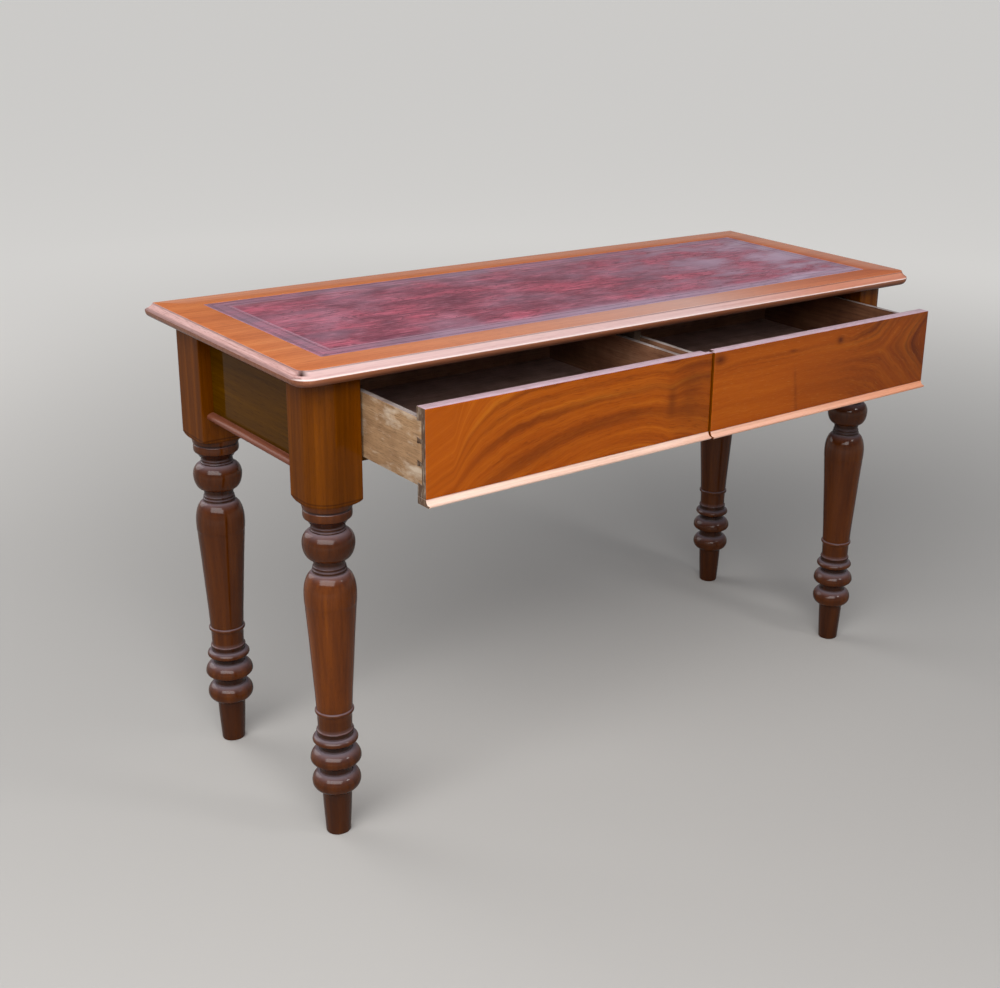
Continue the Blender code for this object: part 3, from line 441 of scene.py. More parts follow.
def oxbloodHide(box, tooling):
    # Clouds of dye drawn out along the desk, dark creases and rubs, lilac bloom and painted sheen, and a duller
    # frame.
    look = hideLook
    material, tree, shader = startMaterial("oxbloodSkiver", {"Roughness": 0.44, "IOR": 1.5,
                                                             "Specular IOR Level": 0.3, "Coat Weight": 0.1,
                                                             "Coat Roughness": 0.25})
    place = addNode(tree, "TexCoord").outputs["Object"]
    layers = {}
    for layer, detail, rough in (("cloud", 6.0, 0.6), ("streak", 5.0, 0.7), ("crease", 3.0, 0.5)):
        across, along = look[layer + "Mm"]
        drawn = addNode(tree, "Mapping", {"Scale": (1000 / along, 1000 / across, 1)}, {"Vector": place})
        layers[layer] = addNode(tree, "TexNoise", {"Scale": 1.0, "Detail": detail, "Roughness": rough,
                                                   "Distortion": 0.5}, {"Vector": drawn.outputs[0]}).outputs["Fac"]
    mixed = addNode(tree, "Mix", {"data_type": "FLOAT", "Factor": 0.5},
                    {2: layers["cloud"], 3: layers["streak"]}).outputs[0]
    colour = addNode(tree, "ValToRGB", {}, {"Fac": mixed},
                     [(0.41, look["deep"]), (0.50, look["mid"]), (0.60, look["rosy"])]).outputs["Color"]
    haze = addNode(tree, "TexNoise", {"Scale": 1000 / 150, "Detail": 5.0, "Roughness": 0.65}, {"Vector": place})
    bloomAndSheen = addNode(tree, "MapRange", {"From Min": 0.44, "From Max": 0.66, "To Max": look["bloomShare"]},
                    {"Value": haze.outputs["Fac"]}).outputs[0]
    # paler towards the right end, in patches: a painted sheen of the light, and partly a paler hide
    along = addNode(tree, "SeparateXYZ", {}, {0: place}).outputs[0]
    rightSheen = addNode(tree, "MapRange", {"interpolation_type": "SMOOTHSTEP", "From Min": look["rightSheenFrom"],
                                     "From Max": look["rightSheenTo"], "To Max": look["rightSheenShare"]}, {"Value": along})
    patches = addNode(tree, "MapRange", {"From Min": 0.58, "From Max": 0.40, "To Min": 0.1},
                      {"Value": layers["cloud"]}).outputs[0]
    bloomAndSheen = addNode(tree, "Math", {"operation": "MULTIPLY_ADD", "use_clamp": True},
                    {0: rightSheen.outputs[0], 1: patches, 2: bloomAndSheen}).outputs[0]
    # and a painted sheen along a strip of the front edge, from the middle on
    front = box[0][1]
    nearFront = addNode(tree, "MapRange", {"interpolation_type": "SMOOTHSTEP", "From Min": front + 0.055,
                                           "From Max": front, "To Max": look["frontEdgeSheen"]},
                        {"Value": addNode(tree, "SeparateXYZ", {}, {0: place}).outputs[1]}).outputs[0]
    fromLeft = addNode(tree, "MapRange", {"interpolation_type": "SMOOTHSTEP", "From Min": -0.62, "From Max": -0.1},
                       {"Value": along}).outputs[0]
    bloomAndSheen = addNode(tree, "Math", {"operation": "MULTIPLY_ADD", "use_clamp": True},
                    {0: nearFront, 1: fromLeft, 2: bloomAndSheen}).outputs[0]
    rubs = addNode(tree, "MapRange", {"From Min": 0.52, "From Max": 0.68, "To Max": look["rubShare"]},
                   {"Value": layers["streak"]}).outputs[0]
    # a crease runs where its noise crosses the middle, and dies away where the haze is thin
    offLine = addNode(tree, "Math", {"operation": "SUBTRACT", 1: 0.5}, {0: layers["crease"]}).outputs[0]
    offLine = addNode(tree, "Math", {"operation": "ABSOLUTE"}, {0: offLine}).outputs[0]
    line = addNode(tree, "MapRange", {"From Min": 0.026, "From Max": 0.0, "To Max": 0.75}, {"Value": offLine})
    reach = addNode(tree, "MapRange", {"From Min": 0.42, "From Max": 0.56}, {"Value": layers["cloud"]}).outputs[0]
    creased = addNode(tree, "Math", {"operation": "MULTIPLY"}, {0: line.outputs[0], 1: reach}).outputs[0]
    # how far in from the nearest edge of the skiver, in metres
    low, high = box
    middle = ((low[0] + high[0]) / 2, (low[1] + high[1]) / 2, 0)
    local = addNode(tree, "VectorMath", {"operation": "SUBTRACT", 1: middle}, {0: place}).outputs[0]
    folded = addNode(tree, "VectorMath", {"operation": "ABSOLUTE"}, {0: local}).outputs[0]
    inward = addNode(tree, "VectorMath", {"operation": "SUBTRACT", 0: ((high[0] - low[0]) / 2,
                                                                       (high[1] - low[1]) / 2, 1)}, {1: folded})
    sides = addNode(tree, "SeparateXYZ", {}, {0: inward.outputs[0]})
    inside = addNode(tree, "Math", {"operation": "MINIMUM"}, {0: sides.outputs[0], 1: sides.outputs[1]}).outputs[0]
    wear = addNode(tree, "MapRange", {"To Min": -0.9 * mm, "To Max": 0.9 * mm}, {"Value": layers["streak"]})
    inside = addNode(tree, "Math", {"operation": "ADD"}, {0: inside, 1: wear.outputs[0]}).outputs[0]
    span = addNode(tree, "MapRange", {"From Max": 0.04}, {"Value": inside}).outputs[0]
    frameStops = [(0, 0.4), (22, 0.38), (26, 0.3), (30.5, 0.15), (33, 0.0)]
    # the bright line is a painted highlight along one tooled line
    toolStops, highlightAt = [(0, 0.0), (3.6, 0.0)], tooling["brightLine"]
    for at in tooling["lines"]:
        toolStops += [(at - 1.1, 0.0), (at - 0.3, 0.6), (at + 0.3, 0.6), (at + 1.1, 0.0)]
    highlightStops = [(0, 0.0), (highlightAt - 1.2, 0.0), (highlightAt - 0.4, 0.4), (highlightAt + 0.4, 0.4), (highlightAt + 1.2, 0.0)]
    border, tooled, highlightLine = (addNode(tree, "ValToRGB", {}, {"Fac": span}, [(at / 40, share) for at, share in stops])
                              for stops in (frameStops, toolStops, highlightStops))
    colour = layTones(tree, colour, [(bloomAndSheen, look["bloomAndSheen"], "MIX"), (rubs, look["rubTone"], "MIX"),
                                     (creased, look["toolTone"], "MULTIPLY"),
                                     (border.outputs[0], look["border"], "MIX"),
                                     (tooled.outputs[0], look["toolTone"], "MULTIPLY"),
                                     (highlightLine.outputs[0], look["highlightLineTone"], "MIX")])
    tree.links.new(colour, shader.inputs["Base Color"])
    pebble = addNode(tree, "TexVoronoi", {"Scale": 1000 / look["pebbleMm"], "feature": "SMOOTH_F1"},
                     {"Vector": place}).outputs["Distance"]
    grain = addNode(tree, "Bump", {"Strength": 0.5, "Distance": 0.1 * mm}, {"Height": pebble}).outputs[0]
    folds = addNode(tree, "Bump", {"Distance": 0.3 * mm, "invert": True},
                    {"Height": creased, "Normal": grain}).outputs[0]
    slack = addNode(tree, "Bump", {"Distance": 0.6 * mm}, {"Height": layers["cloud"], "Normal": folds})
    tree.links.new(slack.outputs[0], shader.inputs["Normal"])
    return material


toolingMm = {    # the skiver's blind-tooled frame: dark lines and one bright one, a painted highlight, in mm from its edge
    "lines": (5.2, 8.2, 23.6), "brightLine": 29.0, "width": 0.9, "depth": 0.3, "edge": 0.5, "sink": 0.15}
oxblood = oxbloodHide(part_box("leather_inset"), toolingMm)
print("hide dyed")


# Top

topShape = {    # the moulded edge from the underside round the nose to the quirk, in mm
    "underInset": 10.0, "noseHeight": 11.8, "noseRadius": 2.4, "mouldWidth": 9.8, "quirkStep": 1.6,
    "quirkWidth": 0.4, "arris": 0.4, "corners": (27.0, 3.0), "cornerSteps": 24, "leatherGap": 0.3,
    "leatherBed": 1.8, "noseShade": 0.8, "arrisHighlight": 0.6,
    "stations": 13,
    "flatSheenAt": (-0.63, -0.25, 0.1, 0.32, 0.63),    # painted sheen along the front of the flat and along its back, in metres
    "flatFrontSheen": (0.02, 0.2, 0.55, 0.2, 0.0), "flatBackSheen": (0.0, 0.0, 0.02, 0.03, 0.0), "endNoseDarkening": 0.4,
    "redFrom": 0.12, "redTo": 0.42, "flatRed": 0.4}    # where the front slope and the flat turn red


def makeTop():
    # A moulding's profile (height, inset) carried round the board, then over it and into the recess.
    low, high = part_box("top_board")
    s = topShape
    thickness = (high.z - low.z) / mm
    eighth = (s["noseHeight"] + s["noseRadius"] * math.sin(math.pi / 4),
              s["noseRadius"] * (1 - math.cos(math.pi / 4)))
    foot = thickness - s["quirkStep"]
    rows = [(0, s["underInset"], "line", 1), (s["noseHeight"], 0, "swell", 12), (*eighth, "round", 5),
            (foot, s["mouldWidth"], "hollow", 10),
            (thickness - s["arris"], s["mouldWidth"] + s["quirkWidth"], "line", 2),
            (thickness, s["mouldWidth"] + s["quirkWidth"] + s["arris"], "fall", 4)]
    profile = traceProfile((0, 40), rows)
    loops = roundedLoops((low, high), profile, s["corners"], s["cornerSteps"])
    bed = traceProfile((thickness, -s["arris"]), [(thickness - s["arris"], 0, "fall", 3),
                                                 (thickness - s["leatherBed"], 0, "line", 1)])
    leatherLow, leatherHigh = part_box("leather_inset")
    gap = s["leatherGap"] * mm
    recess = ((leatherLow.x - gap, leatherLow.y - gap, low.z), (leatherHigh.x + gap, leatherHigh.y + gap, high.z))
    well = roundedLoops(recess, bed, (1.2, 1.2), s["cornerSteps"])
    # more points along the front, which carry the haze
    corner = 3 * (s["cornerSteps"] + 1)
    share = np.linspace(0, 1, s["stations"])[1:-1, None]
    loops, well = (np.concatenate([loop[:, :corner], loop[:, corner - 1, None] * (1 - share)
                                   + loop[:, corner, None] * share, loop[:, corner:]], 1) for loop in (loops, well))
    steps = np.cumsum([0] + [row[3] for row in rows])
    rowFinish = np.zeros(len(profile) + len(bed) - 1, int)
    rowFinish[:steps[2]] = 2
    rowFinish[steps[2]:steps[5]] = 1
    top = gridMesh("topBoard", np.concatenate([loops, well]), crease=30, rowFinish=rowFinish)
    places = vertexPlaces(top)
    # a darker line along the quirk's foot, a dark smudge at the front-left corner, and painted shade under the nose
    grime = np.zeros(len(places))
    columns = loops.shape[1]
    grime[steps[4] * columns:(steps[4] + 2) * columns] = 0.5
    corner = np.array([low.x + 11.5 * mm, low.y + 13 * mm])
    spot = np.exp(-((places[:, :2] - corner) ** 2).sum(1) / (7 * mm) ** 2)
    within = (places[:, 2] > low.z + 17 * mm) & (places[:, 2] < high.z - 0.2 * mm)
    # painted shade under the nose, darkest at its foot
    underneath = s["noseShade"] * np.clip(1 - (places[:, 2] - low.z) / (s["noseHeight"] * mm), 0, 1)
    # the noses at the two ends are browner than the front one
    atEnd = np.abs(places[:, 0] - (low.x + high.x) / 2) > (high.x - low.x) / 2 - s["mouldWidth"] * mm
    nose = (places[:, 2] > low.z + 3 * mm) & (places[:, 2] < low.z + (s["noseHeight"] + s["noseRadius"] + 1) * mm)
    underneath = np.maximum(underneath, s["endNoseDarkening"] * (atEnd & nose))
    setAttribute(top, "grime", np.where(within, np.maximum(grime, spot), underneath))
    # painted sheen on the flat, and a painted highlight along the front arris
    inFront = places[:, 1] < (low.y + high.y) / 2
    haze = np.where(inFront, *(np.interp(places[:, 0], s["flatSheenAt"], s[word]) for word in ("flatFrontSheen", "flatBackSheen")))
    row = np.append(np.repeat(np.arange(len(profile) + len(bed)), columns), [0, 0])
    towardFront = np.clip(2 - (places[:, 1] - low.y) / (s["mouldWidth"] * mm), 0, 1)
    arris = s["arrisHighlight"] * towardFront * ((row > steps[2]) & (row <= steps[3]))
    setAttribute(top, "bloomAndSheen", np.where(row >= steps[5], haze, arris))
    red = np.interp(places[:, 0], [s["redFrom"], s["redTo"]], [0, 0.9])
    flatRed = np.where(row >= steps[5], s["flatRed"] * red, 0)
    setAttribute(top, "warm", np.where((row >= steps[3]) & (row < steps[5]), red, flatRed))
    # the slope along each end has its own finish, with the shoulder of its nose
    facing, chosen = np.empty(len(top.data.polygons) * 3, np.float32), np.empty(len(top.data.polygons), np.int32)
    top.data.polygons.foreach_get("normal", facing)
    top.data.polygons.foreach_get("material_index", chosen)
    toSide = np.abs(facing[0::3]) > np.abs(facing[1::3])
    worn = toSide & ((chosen == 1) | ((chosen == 2) & (facing[2::3] > 0.1)))
    top.data.polygons.foreach_set("material_index", np.where(worn, 3, chosen).astype(np.int32))
    fit(top, "carcass", "top_board", "top_mahogany", topMahogany, slopeMahogany, noseMahogany, sideSlopeMahogany)


makeTop()


def makeLeather():
    # The skiver's edge and its tooled lines as one profile carried round it.
    low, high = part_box("leather_inset")
    t = toolingMm
    thickness = (high.z - low.z) / mm - t["sink"]
    edge = traceProfile((0, 0), [(thickness - t["edge"], 0, "line", 1), (thickness, t["edge"], "fall", 4)])
    across = np.linspace(-1, 1, 9)
    lines = [np.stack([thickness - t["depth"] * (1 + np.cos(across * math.pi)) / 2, line + across * t["width"]], -1)
             for line in (*t["lines"], t["brightLine"])]
    field = np.array([[thickness, inset] for inset in (60.0, 120.0, 170.0)])
    grid = roundedLoops((low, high), np.concatenate([edge, *lines, field]), (1.2, 1.2), 4)
    fit(gridMesh("leatherInset", grid, crease=60), "carcass", "leather_inset", "oxblood_leather", oxblood)


makeLeather()
print("top and leather made")


# Legs

legShape = {    # the turning from the neck to the floor: height and radius in mm, the way there, steps
    "pommelHalf": 37.0, "pommelFoot": 546.0, "shoulder": 7.5, "arris": 1.3, "bloomAndSheen": 0.55,
    "deep": {"front_left": 0.0, "front_right": 0.3, "back_left": 0.45, "back_right": 0.45},
    "dark": ((545, 543, 0.6), (541, 512, 0.4), (531, 527.6, 1.0), (514.5, 494.5, 0.8), (495, 452, 0.5),
             (452, 430, 0.8), (210, 202, 0.35), (176, 164, 0.8), (155, 142, 0.9), (119, 103, 0.8),
             (200, 76, 0.45), (76, 0, 0.65)),    # from, to and how much darker: painted shade under the pommel, the ring and the ball, between the rolls and down the foot, with old polish in the grooves
    "turning": [
        (530.4, 35.3, "line", 3), (529.7, 33.8, "line", 1), (528.2, 33.7, "line", 1), (527.5, 34.3, "line", 1),
        (520.5, 35.1, "swell", 6), (515.2, 33.2, "fall", 6), (513.4, 30.6, "line", 2), (507.2, 26.6, "line", 3),
        (503.8, 23.4, "swell", 4), (502.6, 23.3, "line", 1), (502.0, 24.4, "line", 1), (499.8, 24.7, "swell", 3),
        (499.2, 23.8, "line", 1), (498.2, 23.8, "line", 1), (497.6, 25.2, "line", 1), (495.8, 25.8, "swell", 3),
        (495.0, 24.6, "line", 1), (476.6, 37.7, "swell", 18), (451.6, 24.4, "fall", 18), (446.0, 22.7, "line", 2),
        (441.2, 22.5, "line", 1), (440.6, 23.5, "line", 1), (438.4, 24.0, "swell", 3), (437.8, 23.1, "line", 1),
        (436.4, 23.1, "line", 1), (435.8, 24.6, "line", 1), (433.4, 25.1, "swell", 3), (432.6, 24.1, "line", 1),
        (430.6, 24.3, "line", 1), (396.5, 38.0, "swell", 24), (382.0, 37.3, "fall", 6), (368.0, 36.3, "line", 2),
        (336.0, 34.0, "line", 3), (303.6, 32.0, "line", 3), (270.8, 30.0, "line", 3), (237.8, 27.9, "line", 3),
        (210.8, 26.6, "line", 2), (210.2, 25.9, "line", 1), (209.6, 27.2, "line", 1), (207.0, 28.9, "swell", 6),
        (204.2, 27.4, "fall", 6), (203.6, 26.4, "line", 1), (202.6, 26.0, "line", 1), (187.4, 25.5, "line", 2),
        (177.0, 25.5, "line", 2), (176.2, 26.6, "line", 1), (173.6, 27.7, "swell", 4), (172.8, 26.7, "line", 1),
        (166.0, 26.5, "line", 2), (159.4, 33.7, "swell", 10), (154.6, 26.0, "fall", 8), (152.0, 24.2, "line", 1),
        (149.6, 23.8, "line", 1), (143.4, 24.8, "line", 2), (127.6, 37.8, "swell", 16), (119.0, 26.6, "fall", 14),
        (116.6, 24.6, "line", 1), (111.0, 23.6, "line", 2), (104.6, 24.4, "line", 2), (89.4, 36.3, "swell", 16),
        (74.4, 22.7, "fall", 16), (70.0, 22.2, "line", 2), (49.0, 21.3, "line", 2), (30.5, 20.3, "line", 2),
        (3.0, 18.6, "line", 2), (0.0, 17.8, "fall", 3)]}


def makeLeg(word, roundCorner=None):
    # Reach by angle and height: a square head with eased arrises, held back below by the turned
    # shoulder, and under that a circle of the profile's radius.
    low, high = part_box(word + "_leg")
    s = legShape
    half, ease = s["pommelHalf"], s["arris"]
    centre = ((low.x + high.x) / 2, (low.y + high.y) / 2)
    flatEnd = math.degrees(math.atan((half - ease) / half))
    quarter = np.concatenate([np.linspace(-flatEnd, flatEnd, 23), np.linspace(flatEnd, 90 - flatEnd, 6)[1:-1]])
    angles = np.radians((quarter[None, :] + 90 * np.arange(4)[:, None]).ravel())
    away = np.radians(np.abs((np.degrees(angles) % 90) - 45))    # from the nearest diagonal
    square = half / np.cos(math.pi / 4 - away)
    eased = math.sqrt(2) * (half - ease)
    arris = eased * np.cos(away) + np.sqrt(np.maximum(ease ** 2 - (eased * np.sin(away)) ** 2, 0))
    reach = np.where(away < math.radians(45 - flatEnd) + 1e-6, arris, square)
    if roundCorner:    # the outer front corner is struck from the leg's own axis
        outer = (np.cos(angles) * roundCorner[0] > -1e-6) & (np.sin(angles) * roundCorner[1] > -1e-6)
        reach = np.where(outer, half, reach)
    shoulderFoot = s["pommelFoot"] - s["shoulder"]
    shoulder = traceProfile((s["pommelFoot"], math.sqrt(2) * half), [(shoulderFoot, half, "fall", 14)])
    turned = traceProfile((shoulderFoot, half), s["turning"])[1:]
    heights = np.concatenate([[high.z / mm, s["pommelFoot"] + 0.8], shoulder[:, 0], turned[:, 0]])
    limits = np.concatenate([[2 * half, 2 * half], shoulder[:, 1], turned[:, 1]])
    headRow = heights > shoulderFoot - 1e-6
    radius = np.where(headRow[:, None], np.minimum(reach[None, :], limits[:, None]), limits[:, None])
    grid = np.stack([centre[0] + radius * mm * np.cos(angles), centre[1] + radius * mm * np.sin(angles),
                     heights[:, None] * mm + np.zeros_like(radius)], -1)
    turnedRow = (heights[1:] < shoulderFoot - 1e-6).astype(int)
    leg = gridMesh(word.title().replace("_", "") + "Leg", grid, crease=34, rowFinish=turnedRow)
    # darker: old polish in the hollows, by how far a turned row lies under the rows within 9 mm of it, then painted
    # shade in the listed bands, and each leg's own darkening
    reachRow = np.minimum(limits, half * 1.05)
    close = np.abs(heights[:, None] - heights[None, :]) < 9
    grime = 0.7 * np.clip((np.where(close, reachRow[None, :], 0).max(1) - reachRow) / 11, 0, 1)
    for upper, lower, share in s["dark"]:
        rise = np.clip(np.minimum(upper - heights, heights - lower) / 2 + 0.5, 0, 1)
        grime = np.maximum(grime, share * rise)
    grime = np.maximum(grime, np.where(headRow, 0, s["deep"][word]))
    setAttribute(leg, "grime", np.append(np.repeat(grime, len(angles)), [0, 0]))
    # painted highlight of the light from above: the cube of how far a turned row faces up
    outward, fallen = np.diff(limits), -np.diff(heights)
    up = np.clip(outward / np.hypot(outward, fallen), 0, 1) ** 3 * turnedRow
    bloomAndSheen = s["bloomAndSheen"] * (np.append(up, 0) + np.append(0, up)) / 2
    setAttribute(leg, "bloomAndSheen", np.append(np.repeat(bloomAndSheen, len(angles)), [0, 0]))
    fit(leg, "carcass", word + "_leg", "leg_mahogany", headMahogany, legMahogany)


makeLeg("front_left", (-1, -1))
makeLeg("front_right", (1, -1))
makeLeg("back_left")
makeLeg("back_right")
print("legs turned")


# Beads and lips

def sweepOutline(name, outline, axis, stations, nose=None):
    # A closed outline carried along an axis. With a nose, its reach in front of the face dies
    # away over the last few mm by a quarter circle, so that the ends are eased.
    along = np.asarray(stations, float)
    shape = np.repeat(outline[None], len(along), 0)
    if nose:
        radius, face = nose
        toEnd = np.minimum(along - along.min(), along.max() - along)
        share = 0.8 + 0.2 * np.sqrt(1 - np.clip(1 - toEnd / radius, 0, 1) ** 2)
        shape[:, :, 0] += np.minimum(shape[:, :, 0] - face, 0) * (share[:, None] - 1)
    run = np.repeat(along[:, None], len(outline), 1)
    order = {"X": (run, shape[:, :, 0], shape[:, :, 1]), "Y": (shape[:, :, 0], run, shape[:, :, 1])}[axis]
    return gridMesh(name, np.stack(order, -1), crease=40)


def makeEndBead(side, word):
    # A half-round bead that stands on a small fillet.
    low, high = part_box(word + "_end_bead")
    back, tip = (low.x, high.x) if side > 0 else (high.x, low.x)
    fillet = back + side * 1.2 * mm
    middle = (low.z + high.z) / 2
    round_ = traceProfile((low.z, fillet), [(middle, tip, "swell", 10), (high.z, fillet, "fall", 10)])
    outline = np.concatenate([[(low.z, back)], round_, [(high.z, back)]])[:, ::-1]
    bead = sweepOutline(word + "EndBead", outline, "Y", np.linspace(low.y, high.y, 5))
    fit(bead, "carcass", word + "_end_bead", "mould_mahogany", beadMahogany)


lipShape = {    # mm, and how red the wood is at places along the desk in metres
    "noseHeight": 3.2, "steps": 10, "nip": 1.5, "redAt": (-0.1, 0.0, 0.5), "red": (0.0, 0.35, 0.85)}


def makeLip(word, outward):
    # A hollow slope falls from the drawer's face to a small nose, which turns back underneath.
    low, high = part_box(word + "_drawer_lip")
    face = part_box(word + "_drawer_front")[0].y
    s = lipShape
    nose = low.z + s["noseHeight"] * mm
    down = traceProfile((high.z, face), [(nose, low.y, "fall", s["steps"]),
                                         (low.z, low.y + s["noseHeight"] * mm, "fall", 5)])
    outline = np.concatenate([[(low.z, high.y), (high.z, high.y)], down])[:, ::-1]
    ends = np.linspace(0, s["nip"] * mm, 6)
    stations = np.concatenate([low.x + ends, np.linspace(low.x, high.x, 11)[1:-1], high.x - ends[::-1]])
    lip = sweepOutline(word + "DrawerLip", outline, "X", stations, nose=(s["nip"] * mm, face))
    finishByFacing(lip, [((0, 0, 0), lipMahogany), ((outward, 0, 0), frontEnd), ((-outward, 0, 0), headMahogany),
                         ((0, 1, 0), frontInside)])
    setAttribute(lip, "warm", np.interp(vertexPlaces(lip)[:, 0], s["redAt"], s["red"]))
    fit(lip, word + "_drawer", word + "_drawer_lip", "mould_mahogany")


for side, word in ((-1, "left"), (1, "right")):
    makeEndBead(side, word)
    makeLip(word, side)
print("beads and lips run")


# Drawers

def plumeFigure(x, z):
    # Arches nested over the middle of the board, in mm from its lower left corner. Three are
    # written out: height = top - rise * exp(-x / reach) for two, a parabola for the lowest.
    # Across the grain runs evenly from one arch to the next.
    near = np.maximum(x, 45) - 0.35 * np.maximum(45 - x, 0)
    high = 126 - 261 * np.exp(-near / 45)
    middle = 92 - 161 * np.exp(-near / 72)
    low = 56 - (near - 350) ** 2 / 1130
    above = 93 + 32 * (z - middle) / np.maximum(high - middle, 26)
    below = 93 + 33 * (z - middle) / np.maximum(middle - low, 26)
    across = np.where(z > middle, above, below)
    across = across + 5 * np.exp(-((x - 436) / 20) ** 2)
    smear = 0.42 * np.exp(-((x - 436) / 9) ** 2 - ((z - 62) / 22) ** 2)
    darker = 0.26 / (1 + np.exp(-(x - 446) / 12))
    shade = smear + darker + 0.2 * np.exp(-((x - 470) / 26) ** 2 - ((z - 70) / 30) ** 2)
    return across, np.clip(shade, 0, 1), 0.05 + 0.6 * np.exp(-(x / 92) ** 2)


def pinFigure(x, z):
    # Straight grain that parts at a point and flows round a swelling at the right end: with r and
    # turn seen from that point, across = 74 +- 2/3 r |cos(1.5 turn)|. Pin knots push the lines apart.
    u, v = (x - 400) / 2, z - 74
    r, turn = np.hypot(u, v), np.arctan2(v, u)
    lobe = np.cos(1.5 * turn)
    across = 74 + np.where(lobe > 0, 1, np.sign(v)) * 2 / 3 * r * np.abs(lobe)
    shade = 0.06 + 0.25 / (1 + np.exp(-(x - 330) / 60)) + 0.12 * np.exp(-((z - 137) / 22) ** 2)
    for knotX, knotZ, wide, tall, dark in ((289, 106, 7, 5, 0.75), (12, 113, 13, 8, 0.7), (176, 104, 9, 1.6, 0.45)):
        near = np.exp(-((x - knotX) / (wide * 2.2)) ** 2 - ((z - knotZ) / (tall * 2.2)) ** 2)
        across = across - 0.8 * (z - knotZ) * near
        shade = shade + dark * np.exp(-((x - knotX) / wide) ** 2 - ((z - knotZ) / tall) ** 2)
    line = np.exp(-((x - 187 + (z - 40) / 8) / 3) ** 2) / (1 + np.exp((z - 72) / 5))
    shade = shade + 0.25 * line + 0.12 / (1 + np.exp(-(x - 187) / 8)) / (1 + np.exp((z - 80) / 6))
    return across, np.clip(shade, 0, 1), 0.1 + 0.45 / (1 + np.exp((x - 300) / 24))


boardEase = {"front": 0.6, "side": 1.2, "cut": 4.0}    # mm


def makeFront(word, outward, figure, finish):
    # The front's own solid, which carries its figure as (along, across, shade) at every point.
    node = word + "_drawer_front"
    front = easedBoard(word + "DrawerFront", node, boardEase["front"], boardEase["cut"])
    finishByFacing(front, [((0, -1, 0), finish), ((0, 1, 0), frontInside), ((outward, 0, 0), frontEnd),
                           ((-outward, 0, 0), headMahogany), ((0, 0, 1), frontTop),
                           ((0, 0, -1), frontInside)])
    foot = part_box(node)[0]
    places = vertexPlaces(front)
    x, z = (places[:, 0] - foot.x) / mm, (places[:, 2] - foot.z) / mm
    across, shade, calm = figure(x, z)
    setAttribute(front, "figure", np.stack([x * mm, across * mm, shade], -1), "FLOAT_VECTOR")
    setAttribute(front, "calm", calm)
    fit(front, word + "_drawer", node, "front_mahogany")


makeFront("left", -1, plumeFigure, plumeMahogany)
makeFront("right", 1, pinFigure, pinMahogany)

for side, word in ((-1, "left"), (1, "right")):
    body = word + "_drawer"
    for role, outward in (("outer", side), ("inner", -side)):
        board = easedBoard(word + "Drawer" + role.title() + "Side", f"{word}_drawer_{role}_side", boardEase["side"])
        inside = sideInnerDark if word == "right" and role == "outer" else sideInner
        finishByFacing(board, [((0, 0, 0), inside), ((0, 0, 1), sideTop)] +
                       ([((outward, 0, 0), sideOuter)] if role == "outer" else []))
        fit(board, body, f"{word}_drawer_{role}_side", "drawer_lining")
    back = easedBoard(word + "DrawerBack", word + "_drawer_back", boardEase["side"])
    fit(back, body, word + "_drawer_back", "drawer_lining", backInner)
print("drawers made")

finishes = {    # boards that keep the frame's own shapes
    panelMahoganyAcross: ["left_end_panel", "right_end_panel"],
    panelMahoganyAlong: ["back_panel", "lower_front_rail", "upper_front_rail"],
    pineRails: ["drawer_divider", *[f"{word}_{part}" for word in ("left", "right", "centre")
                                    for part in ("runner", "kicker", "guide")],
                *[f"{word}_glue_block_{i}" for word in ("left", "right") for i in (1, 2)]],
    pineAlong: [f"back_glue_block_{i}" for i in range(1, 5)],
    pineFloors: ["left_drawer_floor", "right_drawer_floor"]}
for finish, names in finishes.items():
    for name in names:
        nodes[name].material_slots[0].material = finish
print("boards finished")


# Stage, light and camera

def seenRay(tree):
    # 1 for the rays that show a surface to the eye, straight, in a gloss or through glass, else 0.
    ray = addNode(tree, "LightPath").outputs
    seen = addNode(tree, "Math", {"operation": "MAXIMUM"}, {0: ray["Is Camera Ray"], 1: ray["Is Glossy Ray"]})
    return addNode(tree, "Math", {"operation": "MAXIMUM"}, {0: seen.outputs[0], 1: ray["Is Transmission Ray"]}).outputs[0]


stageLook = {    # the floor's colour, half size and far glow, and the sky's colour and strengths
    "floor": "#B7B4B0", "half": 300.0, "glowFrom": 0.8, "glowTo": 4.6, "farGlow": 0.57, "sky": "#EEF2FC",
    "fill": 0.21, "backdrop": "#F2F0EC", "backdropStrength": 0.66}


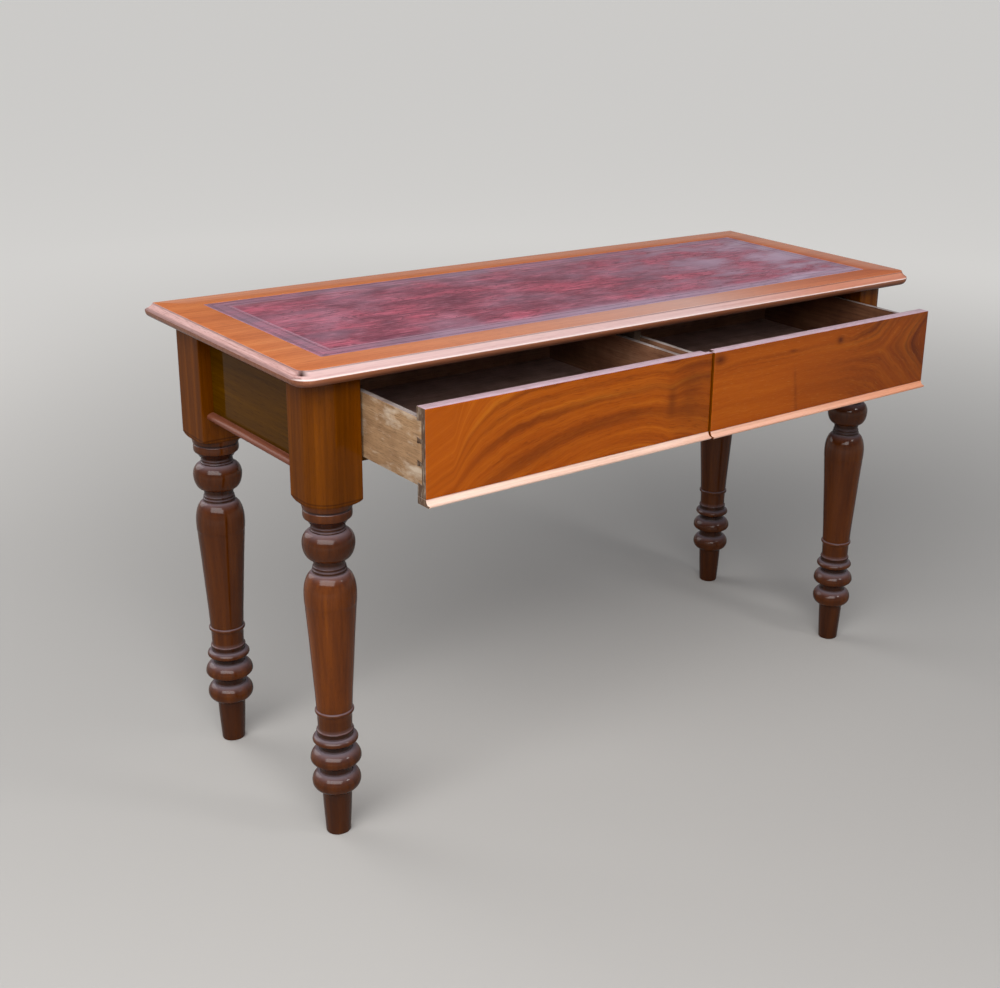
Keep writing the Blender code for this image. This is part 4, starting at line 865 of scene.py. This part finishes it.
def makeStage():
    # A pale matt floor under a dim even sky. Near the horizon the sky shows a pale backdrop.
    look = stageLook
    half = look["half"]
    mesh = bpy.data.meshes.new("paleFloor")
    mesh.from_pydata([(-half, -half, -0.0005), (half, -half, -0.0005), (half, half, -0.0005), (-half, half, -0.0005)],
                     [], [(0, 1, 2, 3)])
    floor = bpy.data.objects.new("paleFloor", mesh)
    bpy.context.scene.collection.objects.link(floor)
    material, tree, shader = startMaterial("mattFloorPaint", {"Roughness": 0.9, "Specular IOR Level": 0.2,
                                                              "Base Color": linearColour(look["floor"]),
                                                              "Emission Color": linearColour(look["backdrop"])})
    # far from the desk, where the lamps don't reach, the floor's own glow keeps it as pale as near by
    place = addNode(tree, "TexCoord").outputs["Object"]
    away = addNode(tree, "VectorMath", {"operation": "LENGTH"}, {0: place}).outputs["Value"]
    glow = addNode(tree, "MapRange", {"interpolation_type": "SMOOTHSTEP", "From Min": look["glowFrom"],
                                      "From Max": look["glowTo"], "To Max": look["farGlow"]},
                   {"Value": away}).outputs[0]
    strength = addNode(tree, "Math", {"operation": "MULTIPLY"}, {0: glow, 1: seenRay(tree)}).outputs[0]
    tree.links.new(strength, shader.inputs["Emission Strength"])
    mesh.materials.append(material)
    world = bpy.data.worlds.new("paleStudio")
    bpy.context.scene.world = world
    world.use_nodes = True
    tree = world.node_tree
    lit = tree.nodes["Background"]
    way = addNode(tree, "TexCoord").outputs["Generated"]
    lit.inputs["Color"].default_value = linearColour(look["sky"])
    lit.inputs["Strength"].default_value = look["fill"]
    pale = addNode(tree, "Background", {"Color": linearColour(look["backdrop"]),
                                        "Strength": look["backdropStrength"]})
    rise = addNode(tree, "SeparateXYZ", {}, {0: way}).outputs[2]
    low = addNode(tree, "MapRange", {"interpolation_type": "SMOOTHSTEP", "From Min": 0.20, "From Max": 0.10},
                  {"Value": rise}).outputs[0]
    share = addNode(tree, "Math", {"operation": "MULTIPLY"}, {0: low, 1: seenRay(tree)}).outputs[0]
    mix = addNode(tree, "MixShader", {}, {0: share, 1: lit.outputs[0], 2: pale.outputs[0]})
    tree.links.new(mix.outputs[0], tree.nodes["World Output"].inputs["Surface"])


lamps = {    # place, aimed at, width and height in metres and power in watts
    "wideFrontPanel": ((-2.20, -1.82, 2.62), (-0.35, -0.1, 0.55), (4.2, 2.4), 165),
    "frontRightPanel": ((0.95, -2.25, 2.33), (-0.1, -0.1, 0.6), (0.6, 0.6), 12),
    "backLeftPanel": ((-1.43, 2.89, 2.09), (-0.63, 0.07, 0.75), (2.6, 2.6), 40)}


def makeLamps():
    for name, (place, target, (width, height), power) in lamps.items():
        light = bpy.data.lights.new(name, "AREA")
        light.shape = "ELLIPSE" if width == height else "RECTANGLE"
        light.size, light.size_y = width, height
        light.energy = power
        lamp = bpy.data.objects.new(name, light)
        lamp.visible_camera = False
        back = np.array(place) - np.array(target)
        back /= np.linalg.norm(back)
        side = np.cross((0, 0, 1), back)
        side /= np.linalg.norm(side)
        turned = np.column_stack([side, np.cross(back, side), back, place])
        lamp.matrix_world = Matrix(turned.tolist() + [[0, 0, 0, 1]])
        bpy.context.scene.collection.objects.link(lamp)


cameraLook = {    # worked out from the desk's own straight edges, the picture's true middle included
    "place": (-1.4980, -1.8182, 1.2809), "pan": 41.9340, "tilt": 19.3264, "roll": -2.3723,
    "focalPixels": 1444.4, "principal": (643.5, 462.8), "image": (1000, 988)}


def makeCamera():
    # Pan turns from +Y towards +X, tilt looks down and roll turns the picture.
    c = cameraLook
    pan, tilt, roll = (math.radians(c[k]) for k in ("pan", "tilt", "roll"))
    forward = np.array([math.sin(pan) * math.cos(tilt), math.cos(pan) * math.cos(tilt), -math.sin(tilt)])
    level = np.array([math.cos(pan), -math.sin(pan), 0])
    down = np.cross(forward, level)
    right = math.cos(roll) * level + math.sin(roll) * down
    below = -math.sin(roll) * level + math.cos(roll) * down
    data = bpy.data.cameras.new("camera")
    data.sensor_width = 36
    data.lens = c["focalPixels"] * data.sensor_width / c["image"][0]
    data.shift_x = (c["image"][0] / 2 - c["principal"][0]) / c["image"][0]
    data.shift_y = (c["principal"][1] - c["image"][1] / 2) / c["image"][0]
    data.clip_end = 1000
    camera = bpy.data.objects.new("camera", data)
    turned = np.column_stack([right, -below, -forward, c["place"]])
    camera.matrix_world = Matrix(turned.tolist() + [[0, 0, 0, 1]])
    bpy.context.scene.collection.objects.link(camera)
    bpy.context.scene.camera = camera


makeStage()
makeLamps()
makeCamera()
bpy.context.scene.view_settings.view_transform = "Standard"
print("stage lit")
